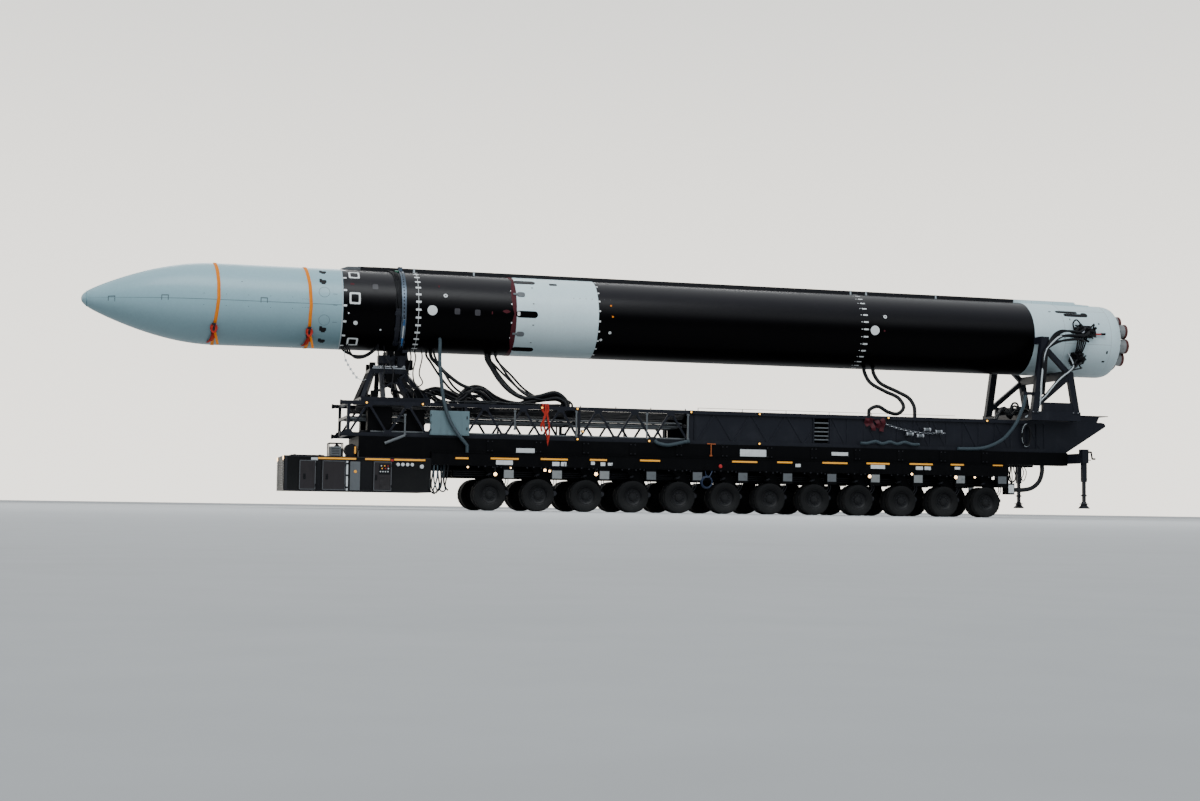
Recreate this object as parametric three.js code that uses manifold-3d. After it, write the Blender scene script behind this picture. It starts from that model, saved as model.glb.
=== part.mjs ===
// A two-stage rocket lying on its transport frame, on a self-propelled modular transporter.
// Millimetres. X runs towards the nose, Z up, the origin is on the ground at mid length.
import * as THREE from 'three';
import { mergeVertices } from 'three/addons/utils/BufferGeometryUtils.js';
import Module from 'manifold-3d';

const wasm = await Module();
wasm.setup();

// Rocket
const bodyRadius = 1000;
const bodySides = 36;
const axisHeight = 4940;
const noseTipX = 13920;
const noseLength = 3120;
const fairingWall = 40;
const fairingAftX = 7780;
const secondStageAftX = 3480;
const interstageAftX = 1360;
const tankAftX = -10870;
const skirtAftX = -13520;
const skirtShoulder = { length: 260, drop: 70 };
const engineRecess = { frontX: -13000, radius: 770 };
const bell = { count: 8, ringRadius: 540, exitRadius: 204, mouthX: -noseTipX, sides: 10, phaseDegrees: 30 };
const duct = { aftX: -10700, frontX: 7290, width: 240, height: 85 };
const strap = { x: [10780, 8590], halfWidth: 40 };
const clampX = 6300;
const clamp = { width: 100, thickness: 30 };

// Transport frame
const chordZ = { bottom: 1815, top: 2580 };
const chordHalf = 45;
const girderHalfWidth = 1000;
const girderFrontX = 7750;
const latticeFrontX = 7600;
const latticeAftX = -1080;
const cladAftX = -11125;
const latticeBays = 9;
const plate = 20;
const rearBeam = { x: -11880, halfLength: 1700, halfWidth: 100, bottomZ: 1480, topZ: 1740 };
const jack = { y: 1750, outer: 120, bore: 76.6, leg: 76, sleeveBottomZ: 980, sleeveTopZ: 1800, footZ: 270 };
const loadFrame = { frontX: 7350, halfWidth: 1100, beamWidth: 350, bottomZ: 1420, topZ: 1770 };

// Transporter
const bed = { frontX: 5580, aftX: -9950, halfWidth: 1200, topZ: loadFrame.bottomZ };
const axleCount = 12;
const firstAxleX = 4120;
const axlePitch = 1220.5;
const bogieY = 935;
const tyre = { radius: 400, halfWidth: 280, gapHalf: 65, shaftRadius: 35, sides: 14 };
const pack = { aftX: 5580, frontX: 9120, halfWidth: 1180, bottomZ: 420, topZ: 1260, wall: 40 };
const doorThickness = 30;
const doorZ = { bottom: 440, top: 1160 };
// name, hinge side X, free side X
const doors = [
  ['service_door_front', 8360, 8760],
  ['service_door_middle', 7650, 8215],
  ['service_door_control', 6540, 6990],
];

// Pieces that touch keep this gap
const gap = 0.3;

function paint(color, roughness, metalness) {
  return new THREE.MeshStandardMaterial({ color, roughness, metalness });
}
const white = paint(0xd5dde0, 0.45, 0);
const black = paint(0x15141a, 0.35, 0);
const frameGrey = paint(0x2b2c34, 0.5, 0.4);
const bedBlack = paint(0x0e0e10, 0.55, 0.3);
const doorGrey = paint(0x6d6668, 0.5, 0.3);
const cabinetGrey = paint(0x93a4aa, 0.5, 0.2);
const steel = paint(0x6f7c86, 0.35, 0.9);
const nozzleMetal = paint(0x4a3836, 0.4, 0.8);
const orange = paint(0xe88417, 0.7, 0);
const rubber = paint(0x101012, 0.85, 0);
const hoseGrey = paint(0x4a575c, 0.6, 0);

// A closed three.js geometry as a solid, its faces turned outwards
function solidOf(geometry) {
  const bare = geometry.clone();
  bare.deleteAttribute('normal');
  bare.deleteAttribute('uv');
  const merged = mergeVertices(bare);
  const index = merged.index.array;
  const position = merged.attributes.position.array;
  const corner = (i) => new THREE.Vector3().fromArray(position, 3 * i);
  const triangles = [];
  let volume = 0;
  for (let i = 0; i < index.length; i += 3) {
    const [a, b, c] = [index[i], index[i + 1], index[i + 2]];
    if (a === b || b === c || c === a) continue;
    triangles.push([a, b, c]);
    volume += corner(a).dot(corner(b).cross(corner(c)));
  }
  const facing = volume < 0 ? triangles.map(([a, b, c]) => [a, c, b]) : triangles;
  const triVerts = Uint32Array.from(facing.flat());
  const vertProperties = Float32Array.from(position);
  return new wasm.Manifold(new wasm.Mesh({ numProp: 3, vertProperties, triVerts }));
}

function join(solids) {
  return solids.reduce((whole, solid) => whole.add(solid));
}

function cut(solid, tools) {
  return tools.reduce((rest, tool) => rest.subtract(tool), solid);
}

function block(x0, x1, y0, y1, z0, z1) {
  const box = new THREE.BoxGeometry(Math.abs(x1 - x0), Math.abs(y1 - y0), Math.abs(z1 - z0));
  return solidOf(box.translate((x0 + x1) / 2, (y0 + y1) / 2, (z0 + z1) / 2));
}

// The same block on both sides of the middle plane, as a list
function pair(make) {
  return [1, -1].map(make);
}

// A square bar from p to q; width runs level, height in the upright plane
function bar(p, q, width, height = width) {
  const from = new THREE.Vector3(...p);
  const to = new THREE.Vector3(...q);
  const along = to.clone().sub(from);
  const box = new THREE.BoxGeometry(along.length(), width, height);
  const xAxis = along.normalize();
  const upright = Math.abs(xAxis.z) > 0.999 ? new THREE.Vector3(1, 0, 0) : new THREE.Vector3(0, 0, 1);
  const yAxis = upright.clone().cross(xAxis).normalize();
  const zAxis = xAxis.clone().cross(yAxis);
  const turn = new THREE.Matrix4().makeBasis(xAxis, yAxis, zAxis);
  turn.setPosition(from.add(to).multiplyScalar(0.5));
  return solidOf(box.applyMatrix4(turn));
}

// A profile of [x, radius] points turned about the X axis
function turnedX(profile, sides) {
  const points = profile.map(([x, radius]) => new THREE.Vector2(radius, x));
  return solidOf(new THREE.LatheGeometry(points, sides).rotateZ(-Math.PI / 2));
}

function drum(x0, x1, radius, sides = bodySides) {
  return turnedX([[x0, 0], [x0, radius], [x1, radius], [x1, 0]], sides);
}

function ring(x0, x1, inner, outer) {
  return turnedX([[x0, inner], [x0, outer], [x1, outer], [x1, inner], [x0, inner]], bodySides);
}

// An upright cylinder
function post(x, y, z0, z1, radius, sides) {
  const cylinder = new THREE.CylinderGeometry(radius, radius, z1 - z0, sides);
  return solidOf(cylinder.rotateX(Math.PI / 2).translate(x, y, (z0 + z1) / 2));
}

// An outline of [x, z] points, with an optional round hole, as a plate centred on y
function sidePlate(outline, y, thickness, hole) {
  const shape = new THREE.Shape(outline.map(([x, z]) => new THREE.Vector2(x, z)));
  if (hole) {
    const corners = Array.from({ length: hole.sides }, (_, i) => {
      const angle = (2 * Math.PI * i) / hole.sides;
      return new THREE.Vector2(hole.x + hole.radius * Math.cos(angle), hole.z + hole.radius * Math.sin(angle));
    });
    shape.holes.push(new THREE.Path(corners));
  }
  const geometry = new THREE.ExtrudeGeometry(shape, { depth: thickness, bevelEnabled: false });
  return solidOf(geometry.rotateX(Math.PI / 2).translate(0, y + thickness / 2, 0));
}

// A round hose along a smooth curve through its points
function hose(points, radius, steps) {
  const sides = 8;
  const section = new THREE.Shape(Array.from({ length: sides }, (_, i) => {
    const angle = (2 * Math.PI * i) / sides;
    return new THREE.Vector2(radius * Math.cos(angle), radius * Math.sin(angle));
  }));
  const path = new THREE.CatmullRomCurve3(points.map((p) => new THREE.Vector3(...p)), false, 'centripetal');
  return solidOf(new THREE.ExtrudeGeometry(section, { steps, extrudePath: path, bevelEnabled: false }));
}

function addPart(group, name, solid, material) {
  const { vertProperties, triVerts } = solid.getMesh();
  const geometry = new THREE.BufferGeometry();
  geometry.setAttribute('position', new THREE.BufferAttribute(vertProperties, 3));
  geometry.setIndex(new THREE.BufferAttribute(triVerts, 1));
  geometry.computeVertexNormals();
  const mesh = new THREE.Mesh(geometry, material);
  mesh.name = name;
  group.add(mesh);
  return mesh;
}

const vehicle = new THREE.Group();
const rocket = new THREE.Group();
rocket.position.z = axisHeight;
const transportFrame = new THREE.Group();
const transporter = new THREE.Group();
vehicle.add(rocket, transportFrame, transporter);

// Fairing: two half shells, split level with the axis. The nose has a round tip and long flanks:
// its radius is a polynomial of the root of the distance from the tip
function noseRadius(t, radius) {
  const u = Math.sqrt(t);
  return radius * u * (1.022 - 1.2 * u + 3.334 * u ** 2 - 2.156 * u ** 3);
}

function fairingShell() {
  const outer = [0, 0.005, 0.02, 0.06, 0.14, 0.27, 0.43, 0.62, 0.81, 1].map((t) => (
    [noseTipX - t * noseLength, noseRadius(t, bodyRadius)]));
  const inner = [1, 0.62, 0.34, 0.14, 0.04, 0].map((t) => (
    [noseTipX - 1.5 * fairingWall - t * (noseLength - 1.5 * fairingWall),
      noseRadius(t, bodyRadius - fairingWall)]));
  const aftX = fairingAftX + gap;
  return turnedX([...outer, [aftX, bodyRadius], [aftX, bodyRadius - fairingWall], ...inner], bodySides);
}
const shell = fairingShell();
const reach = bodyRadius + 100;
const aboveSplit = block(fairingAftX, noseTipX + 1, -reach, reach, gap / 2, reach);
const belowSplit = block(fairingAftX, noseTipX + 1, -reach, reach, -reach, -gap / 2);
addPart(rocket, 'fairing_upper', shell.intersect(aboveSplit), white);
addPart(rocket, 'fairing_lower', shell.intersect(belowSplit), white);

// Ratchet straps round the fairing; the ratchet sits low on the near side
function fairingStrap(x) {
  const half = strap.halfWidth;
  const ratchet = block(x - half - 10, x + half + 10, bodyRadius + 2, bodyRadius + 62, -80, 80);
  return join([ring(x - half, x + half, bodyRadius + 0.5, bodyRadius + 7), ratchet.rotate([-45, 0, 0])]);
}
addPart(rocket, 'fairing_strap_front', fairingStrap(strap.x[0]), orange);
addPart(rocket, 'fairing_strap_rear', fairingStrap(strap.x[1]), orange);

// Stages, each a closed drum
addPart(rocket, 'second_stage', drum(secondStageAftX, fairingAftX, bodyRadius), black);
addPart(rocket, 'interstage', drum(interstageAftX, secondStageAftX - gap, bodyRadius), white);
addPart(rocket, 'first_stage_tank', drum(tankAftX, interstageAftX - gap, bodyRadius), black);

const clampInner = bodyRadius + 1;
const clampOuter = clampInner + clamp.thickness;
function clampBand() {
  const x = [clampX - clamp.width / 2, clampX + clamp.width / 2];
  const lugs = pair((side) => block(clampX - 40, clampX + 40, side * (clampInner + 5), side * (clampOuter + 55), -60, 60));
  const ductHalf = duct.width / 2;
  const ductTop = bodyRadius + duct.height;
  const bridge = block(...x, -ductHalf - 40, ductHalf + 40, 960, ductTop + clamp.thickness);
  const overDuct = block(x[0] - 10, x[1] + 10, -ductHalf - 1, ductHalf + 1, 900, ductTop + 1);
  const overBody = drum(x[0] - 10, x[1] + 10, clampInner - 0.5);
  return cut(join([ring(...x, clampInner, clampOuter), bridge, ...lugs]), [overDuct, overBody]);
}
addPart(rocket, 'clamp_ring', clampBand(), steel);

// Engine bay: white skirt with a rounded aft shoulder and a recess for the engines
function engineBay() {
  const shoulder = [0, 30, 60, 90].map((degrees) => {
    const angle = THREE.MathUtils.degToRad(degrees);
    return [skirtAftX + skirtShoulder.length * (1 - Math.sin(angle)),
      bodyRadius - skirtShoulder.drop * (1 - Math.cos(angle))];
  });
  const frontX = tankAftX - gap;
  const skirt = turnedX([[frontX, 0], [frontX, bodyRadius], ...shoulder,
    [engineRecess.frontX, engineRecess.radius], [engineRecess.frontX, 0]], bodySides);
  const housingFrontX = duct.aftX - gap;
  const housing = sidePlate([[-12640, 960], [housingFrontX, 960], [housingFrontX, bodyRadius + duct.height],
    [-12560, bodyRadius + duct.height], [-12640, 1010]], 0, duct.width);
  const overTank = drum(frontX, housingFrontX + 10, bodyRadius + gap + 0.1);
  return join([skirt, cut(housing, [overTank])]);
}
addPart(rocket, 'engine_bay', engineBay(), white);

function engineBell() {
  return turnedX([[-13040, 0], [-13040, 75], [-13260, 92], [-13520, 162], [bell.mouthX, bell.exitRadius],
    [bell.mouthX, bell.exitRadius - 12], [-13520, 147], [-13380, 0]], bell.sides);
}
function engineCluster() {
  const thrustPlate = drum(engineRecess.frontX - 60, engineRecess.frontX - gap, engineRecess.radius - 15, 24);
  const around = Array.from({ length: bell.count }, (_, i) => {
    const angle = THREE.MathUtils.degToRad(bell.phaseDegrees + (360 * i) / bell.count);
    return engineBell().translate([0, bell.ringRadius * Math.cos(angle), bell.ringRadius * Math.sin(angle)]);
  });
  return join([thrustPlate, engineBell(), ...around]);
}
addPart(rocket, 'engine_cluster', engineCluster(), nozzleMetal);

function cableDuct() {
  const outside = block(duct.aftX, duct.frontX, -duct.width / 2, duct.width / 2, 960, bodyRadius + duct.height);
  return cut(outside, [drum(duct.aftX - 10, duct.frontX + 10, bodyRadius + gap + 0.1)]);
}
addPart(rocket, 'cable_duct', cableDuct(), black);

// Front cradle: splayed legs, a platform and a saddle under the clamp band
const girderTopZ = chordZ.top + chordHalf;
function frontCradle() {
  const baseZ = girderTopZ + gap;
  const x = { aft: 5640, front: 7230, topAft: 6250, topFront: 6960 };
  const base = [
    ...pair((side) => block(x.aft - 60, x.front + 60, side * 720, side * 860, baseZ, baseZ + 110)),
    block(x.aft - 60, x.aft + 60, -860, 860, baseZ, baseZ + 110),
    block(x.front - 60, x.front + 60, -860, 860, baseZ, baseZ + 110),
  ];
  const platformZ = 3380;
  // foot X and head X of the legs on each side
  const legs = [[x.aft, x.topAft], [x.front, x.topFront], [6130, 6450], [6740, 6760]];
  const struts = legs.flatMap(([footX, headX]) => pair((side) => (
    bar([footX, side * 790, baseZ + 60], [headX, side * 360, platformZ + 40], 110, 120))));
  const platform = block(6160, 7040, -440, 440, platformZ, platformZ + 80);
  const saddleAxisZ = axisHeight;
  const saddle = ring(clampX - 70, clampX + 70, clampOuter + 1, clampOuter + 85)
    .intersect(block(clampX - 80, clampX + 80, -720, 720, -1300, -780))
    .translate([0, 0, saddleAxisZ]);
  const neck = [
    ...pair((side) => bar([clampX, side * 360, platformZ + 40], [clampX, side * 360, 3935], 120, 110)),
    ...pair((side) => bar([6930, side * 330, platformZ + 60], [clampX, side * 330, 3880], 80, 80)),
  ];
  return join([...base, ...struts, platform, ...neck, saddle]);
}
addPart(transportFrame, 'front_cradle', frontCradle(), frameGrey);

// Lattice girder: four chords, Warren diagonals, cross members and two inner rails
function latticeGirder() {
  const aftX = latticeAftX + gap;
  const half = girderHalfWidth;
  const chords = [chordZ.bottom, chordZ.top].flatMap((z) => pair((side) => (
    bar([aftX, side * half, z], [girderFrontX, side * half, z], 2 * chordHalf))));
  const bay = (latticeFrontX - (aftX + chordHalf)) / latticeBays;
  const bayX = (i) => latticeFrontX - i * bay;
  const members = [];
  for (let i = 0; i < latticeBays; i += 1) {
    members.push(...pair((side) => bar([bayX(i), side * half, chordZ.bottom], [bayX(i + 0.5), side * half, chordZ.top], 50)));
    members.push(...pair((side) => bar([bayX(i + 0.5), side * half, chordZ.top], [bayX(i + 1), side * half, chordZ.bottom], 50)));
  }
  const frames = [];
  for (let i = 0; i <= latticeBays; i += 3) {
    frames.push(...pair((side) => bar([bayX(i), side * half, chordZ.bottom], [bayX(i), side * half, chordZ.top], 70)));
    for (const z of [chordZ.bottom, 2230, chordZ.top]) {
      frames.push(bar([bayX(i), -half, z], [bayX(i), half, z], 70));
    }
  }
  const rails = pair((side) => bar([bayX(latticeBays), side * 480, 2230], [latticeFrontX, side * 480, 2230], 60, 80));
  const hosePlates = [4100, 2000].map((x) => block(x - 150, x + 150, -half, half, girderTopZ - 35, girderTopZ));
  return join([...chords, ...members, ...frames, ...rails, ...hosePlates]);
}
addPart(transportFrame, 'lattice_girder', latticeGirder(), frameGrey);

// Clad girder: a plated box open at both ends, with diagonal ribs and a window in each side
function cladGirder() {
  const frontX = latticeAftX;
  const aftX = cladAftX + gap;
  const half = girderHalfWidth - 15;
  const box = { bottom: chordZ.bottom - chordHalf, top: chordZ.top + chordHalf };
  const outside = block(aftX, frontX, -half, half, box.bottom, box.top);
  const inside = block(aftX - 10, frontX + 10, plate - half, half - plate, box.bottom + plate, box.top - plate);
  const flanges = [chordZ.bottom, chordZ.top].flatMap((z) => pair((side) => (
    block(aftX, frontX, side * (half - 5), side * (girderHalfWidth + chordHalf), z - chordHalf, z + chordHalf))));
  const windowX = [-4870, -4490];
  const rib = (topX, bottomX, width) => (
    pair((side) => bar([topX, side * half, chordZ.top], [bottomX, side * half, chordZ.bottom], width, 40)));
  // zigzag ribs ahead of the window, upright ribs with a diagonal in most bays behind it
  const zigzag = Array.from({ length: 7 }, (_, i) => {
    const topX = -1756 - 972 * Math.floor(i / 2);
    return rib(topX, topX + (i % 2 ? -486 : 486), 34);
  });
  const uprights = Array.from({ length: 12 }, (_, i) => rib(-5404 - 474 * i, -5404 - 474 * i, 30));
  const diagonals = [-4940, -5880, -6830, -7350, -7830, -8730, -9680, -10620].map((topX) => rib(topX, topX - 420, 30));
  const ribs = [...zigzag, ...uprights, ...diagonals].flat();
  const openWindow = block(windowX[0], windowX[1], -half - 100, half + 100, box.bottom + 110, box.top - 110);
  return cut(join([outside, ...flanges, ...ribs]), [inside, openWindow]);
}
addPart(transportFrame, 'clad_girder', cladGirder(), frameGrey);

// Tail wedge with a step and an overhanging deck plate behind the rear cradle
function tailWedge() {
  const wedge = sidePlate([[-12870, girderTopZ], [-12960, girderTopZ - 20], [-12999, girderTopZ - 75], [-12985, girderTopZ - 120],
    [-11790, 1770], [cladAftX, 1770], [cladAftX, girderTopZ]], 0, 2 * girderHalfWidth);
  const stepFrontX = -12025;
  const step = sidePlate([[stepFrontX, girderTopZ - 5], [stepFrontX, 2795], [-12830, 2795], [-12750, girderTopZ - 5]], 0, 1960);
  const deckPlate = block(-13085, stepFrontX, -girderHalfWidth, girderHalfWidth, 2790, 2808);
  return join([wedge, step, deckPlate]);
}
addPart(transportFrame, 'tail_wedge', tailWedge(), frameGrey);

// Rear cradle: a frame on each side of the engine bay, tied across below it
function rearCradle() {
  const baseZ = girderTopZ + gap;
  const frameY = 1300;
  const x = { foot: -10660, head: -10965, aftFoot: -11920, aftHead: -11715 };
  const base = [
    ...pair((side) => block(x.aftFoot - 90, x.foot + 110, side * (frameY - 90), side * (frameY + 90), baseZ, baseZ + 240)),
    block(x.foot - 110, x.foot + 110, -frameY, frameY, baseZ, baseZ + 200),
    block(x.aftFoot - 90, x.aftFoot + 90, -frameY, frameY, baseZ, baseZ + 200),
    ...pair((side) => block(-11950, -10900, side * (frameY - 50), side * (frameY + 50), baseZ, 3110)),
  ];
  // from [x, z], to [x, z], width, depth
  const members = [
    [[x.foot, 2800], [x.head, 4870], 150, 190],
    [[x.aftFoot, 2800], [x.aftHead, 3950], 130, 170],
    [[x.head, 4600], [x.aftHead, 3880], 110, 130],
    [[x.aftHead, 3830], [x.foot - 60, 3020], 110, 130],
  ].flatMap(([from, to, width, depth]) => pair((side) => (
    bar([from[0], side * frameY, from[1]], [to[0], side * frameY, to[1]], width, depth))));
  const pads = pair((side) => block(x.head - 130, x.head + 130, side * 900, side * (frameY + 40), 4700, 4880));
  const saddleBeam = block(x.aftHead - 70, x.aftHead + 70, -frameY, frameY, 3760, axisHeight - 960);
  const hoseBracket = block(-10720, -10360, 1200, 1300, 3300.3, 3380);
  const clearance = drum(-13000, -10000, bodyRadius + 0.5).translate([0, 0, axisHeight]);
  return cut(join([...base, ...members, ...pads, saddleBeam, hoseBracket]), [clearance]);
}
addPart(transportFrame, 'rear_cradle', rearCradle(), frameGrey);

// Rear beam with a jack sleeve and crank at each end
function rearBeamWithSleeves() {
  const { x, halfLength: beamHalf, halfWidth, bottomZ, topZ } = rearBeam;
  const beam = block(x - halfWidth, x + halfWidth, -beamHalf, beamHalf, bottomZ, topZ);
  const h = jack.outer / 2;
  const headHalf = h + 32;
  const sleeves = pair((side) => join([
    block(x - h, x + h, side * (jack.y - h), side * (jack.y + h), jack.sleeveBottomZ, jack.sleeveTopZ),
    block(x - headHalf, x + headHalf, side * (jack.y - headHalf), side * (jack.y + headHalf), bottomZ, jack.sleeveTopZ + 50)]));
  const b = jack.bore / 2;
  const bores = pair((side) => (
    block(x - b, x + b, side * (jack.y - b), side * (jack.y + b), jack.sleeveBottomZ - 10, jack.sleeveTopZ - 20)));
  const cranks = pair((side) => join([
    bar([x - h + 5, side * jack.y, 1740], [x - h - 70, side * jack.y, 1740], 22),
    bar([x - h - 60, side * jack.y, 1750], [x - h - 60, side * jack.y, 1560], 22),
    bar([x - h - 50, side * jack.y, 1565], [x - h - 150, side * jack.y, 1565], 22)]));
  return cut(join([beam, ...sleeves, ...cranks]), bores);
}
addPart(transportFrame, 'rear_beam', rearBeamWithSleeves(), frameGrey);

function jackLeg() {
  const h = jack.leg / 2;
  const leg = block(-h, h, -h, h, 15, 1180);
  return join([leg, post(0, 0, 0, 20, 150, 12), post(0, 0, 10, 70, 70, 12)]);
}
for (const [side, name] of [[1, 'jack_leg_left'], [-1, 'jack_leg_right']]) {
  addPart(transportFrame, name, jackLeg(), frameGrey).position.set(rearBeam.x, side * jack.y, jack.footZ);
}

function loadBeams() {
  const { frontX, halfWidth, beamWidth } = loadFrame;
  const aftX = rearBeam.x + rearBeam.halfWidth + gap;
  const z = [loadFrame.bottomZ + gap, loadFrame.topZ - gap];
  const sides = pair((side) => block(aftX, frontX, side * (halfWidth - beamWidth), side * halfWidth, ...z));
  const crossCount = 10;
  const pitch = (frontX - aftX - 200) / (crossCount - 1);
  const crossBeams = Array.from({ length: crossCount }, (_, i) => (
    block(aftX + i * pitch, aftX + i * pitch + 200, -halfWidth + 50, halfWidth - 50, z[0] + 60, z[1])));
  // packers that rest on the power pack's roof
  const packers = pair((side) => (
    block(bed.frontX + 20, frontX - 20, side * (halfWidth - beamWidth), side * halfWidth, pack.topZ + gap, z[0] + 5)));
  return join([...sides, ...crossBeams, ...packers]);
}
addPart(transportFrame, 'load_frame', loadBeams(), bedBlack);

const cabinet = block(4650, 5620, girderHalfWidth + chordHalf + gap, girderHalfWidth + 145, 1830, 2430);
addPart(transportFrame, 'control_cabinet', cabinet, cabinetGrey);

// One wheel station under the bed: turntable, yoke leg, arm with its bush, suspension cylinder
function bogie(x, y) {
  const pivot = { x: x - 440, z: 450 };
  const turntable = post(x, y, 1075, 1170, 250, 8);
  const leg = sidePlate([[x + 150, 1090], [x - 180, 1090], [pivot.x - 90, pivot.z], [pivot.x, pivot.z - 95],
    [pivot.x + 90, pivot.z + 60]], y, 110);
  const bush = { x, z: tyre.radius, radius: (tyre.shaftRadius + gap) / Math.cos(Math.PI / 8), sides: 8 };
  const arm = sidePlate([[x + 95, 350], [x + 60, 470], [pivot.x + 60, pivot.z + 90], [pivot.x - 80, pivot.z + 30],
    [pivot.x - 40, pivot.z - 95], [x + 20, 300]], y, 100, bush);
  const cylinder = bar([x - 200, y, 470], [x + 60, y, 1100], 70);
  return join([turntable, leg, arm, cylinder]);
}

function bedModule(frontX, aftX, axles) {
  const half = bed.halfWidth;
  const top = bed.topZ;
  const deck = [
    block(aftX, frontX, -half, half, top - 60, top),
    ...pair((side) => block(aftX, frontX, side * (half - 120), side * half, 1100, top)),
    block(aftX, frontX, -280, 280, 980, top),
  ];
  const stations = axles.flatMap((axle) => {
    const x = firstAxleX - axle * axlePitch;
    const crossBeam = block(x - 160, x + 160, -half + 20, half - 20, 1150, top);
    const boxes = pair((side) => block(x - 600, x - 325, side * (half - 180), side * (half + 5), 800, 1110));
    return [crossBeam, ...boxes, ...pair((side) => bogie(x, side * bogieY))];
  });
  return join([...deck, ...stations]);
}
const bedSplitX = firstAxleX - (axleCount / 2 - 0.5) * axlePitch;
const tailBox = join([
  block(bed.aftX - 210, bed.aftX - 10, 850, 1150, 620, 920),
  block(bed.aftX - 60, bed.aftX - 10, 900, 1100, 900, 1300),
  block(bed.aftX - 60, bed.aftX + 10, 900, 1100, 1200, 1300),
]);
const frontAxles = Array.from({ length: axleCount / 2 }, (_, i) => i);
const rearAxles = frontAxles.map((i) => i + axleCount / 2);
addPart(transporter, 'bed_front', bedModule(bed.frontX - gap, bedSplitX + gap / 2, frontAxles), bedBlack);
addPart(transporter, 'bed_rear', join([bedModule(bedSplitX - gap / 2, bed.aftX, rearAxles), tailBox]), bedBlack);

// Twin wheel: two tyres on one shaft, turned about Y, a flat of its outline on the ground
function twinWheel() {
  const { halfWidth, gapHalf, shaftRadius, sides } = tyre;
  const r = tyre.radius / Math.cos(Math.PI / sides);
  const halfProfile = [[0, halfWidth - 18], [r - 30, halfWidth], [r, halfWidth - 40], [r, gapHalf], [shaftRadius, gapHalf]];
  const profile = [...halfProfile.map(([radius, y]) => [radius, -y]), ...halfProfile.toReversed()];
  const points = profile.map(([radius, y]) => new THREE.Vector2(radius, y));
  return solidOf(new THREE.LatheGeometry(points, sides, Math.PI / sides));
}
for (let i = 0; i < axleCount; i += 1) {
  for (const [side, letter] of [[1, 'left'], [-1, 'right']]) {
    const wheel = addPart(transporter, `wheel_${letter}_${i + 1}`, twinWheel(), rubber);
    wheel.position.set(firstAxleX - i * axlePitch, side * bogieY, tyre.radius);
  }
}

// Power pack: a hollow housing with a bay behind each service door
function powerPack() {
  const { aftX, frontX, halfWidth, bottomZ, topZ, wall } = pack;
  const outside = block(aftX, frontX, -halfWidth, halfWidth, bottomZ, topZ);
  const inside = block(aftX + wall, frontX - wall, wall - halfWidth, halfWidth - wall, bottomZ + wall, topZ - wall);
  const doorways = doors.map(([, hingeX, freeX]) => (
    block(hingeX + 30, freeX - 30, halfWidth - wall - 10, halfWidth + 10, doorZ.bottom + 30, doorZ.top - 30)));
  return cut(outside, [inside, ...doorways]);
}
addPart(transporter, 'power_pack', powerPack(), bedBlack);
const engineFloorZ = pack.bottomZ + pack.wall + gap;
addPart(transporter, 'engine_block', block(6900, 8300, -650, 420, engineFloorZ, engineFloorZ + 600), steel);
for (const [name, hingeX, freeX] of doors) {
  const leaf = block(0, freeX - hingeX, -doorThickness, 0, doorZ.bottom, doorZ.top);
  addPart(transporter, name, leaf, doorGrey).position.set(hingeX, pack.halfWidth + doorThickness + 0.5, 0);
}

// The last points of a hose that comes down upright on a level face
function landing(x, y, z) {
  return [[x, y, z + 160], [x, y, z + 80], [x, y, z + gap]];
}

// Free hoses: name, radius, steps, material, points along the route
const hoses = [
  ['hose_tank_drain', 45, 14, hoseGrey, [[5360, 704.8, 4235.2], [5360, 774.8, 4165.2], [5376, 870, 3990], [5395, 985, 3690],
    [5371, 1120, 3183], [5309, 1190, 2689], [5154, 1205, 2201], [4940, 1200, 1860], ...landing(4700, 1155, bed.topZ)]],
  ['hose_forward', 45, 12, rubber, [[5515, 250, 3962.9], [5515, 250, 3890], [5480, 280, 3780], [5368, 330, 3660],
    [5143, 400, 3417], [4750, 500, 3122], [4380, 600, 2990], ...landing(4100, 650, girderTopZ)]],
  ['hose_middle_a', 50, 14, rubber, [[4090, 200, 3952.7], [4090, 200, 3880], [4065, 225, 3780], [3967, 300, 3600],
    [3801, 400, 3312], [3523, 480, 3011], [3155, 520, 2839], [2769, 520, 2900], [2330, 520, 3000],
    ...landing(2050, 520, girderTopZ)]],
  ['hose_middle_b', 50, 14, rubber, [[3960, -60, 3940.6], [3960, -60, 3870], [3935, -35, 3770], [3830, 60, 3560],
    [3600, 160, 3230], [3300, 240, 2950], [2950, 280, 2830], [2600, 290, 2830], [2250, 300, 2850],
    ...landing(1960, 300, girderTopZ)]],
  ['hose_tank_a', 35, 17, rubber, [[-6190, 250, 3965.6], [-6190, 250, 3890], [-6215, 280, 3780], [-6330, 340, 3560],
    [-6728, 420, 3330], [-7080, 500, 3158], [-7189, 600, 2913], [-6969, 700, 2720], [-6657, 750, 2760],
    [-6369, 750, 2900], ...landing(-6120, 750, girderTopZ)]],
  ['hose_tank_b', 35, 12, rubber, [[-6451, 250, 3965.6], [-6451, 250, 3890], [-6475, 275, 3780], [-6620, 330, 3560],
    [-7100, 400, 3330], [-7381, 500, 3166], [-7490, 590, 2949], ...landing(-7500, 620, girderTopZ)]],
  ['hose_cradle', 45, 12, hoseGrey, [[-10420, 1250, 3300], [-10420, 1250, 3200], [-10400, 1250, 3060],
    [-10290, 1250, 2800], [-10180, 1240, 2560], [-9980, 1215, 2280], [-9780, 1180, 2080], [-9404, 1120, 1890],
    [-9100, 1098, 1830], [-8820, 1096, 1818], [-8660, 1096, 1815.8], [-8520, 1096, 1815.5]]],
  ['hose_tail', 50, 9, rubber, [[-11063, 1000, 1420], [-11063, 1000, 1250], [-10980, 1000, 1000],
    [-10760, 1000, 810], [-10460, 1000, 750], [-10300, 1000, 750], [bed.aftX - 210 - gap, 1000, 750]]],
];
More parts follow.
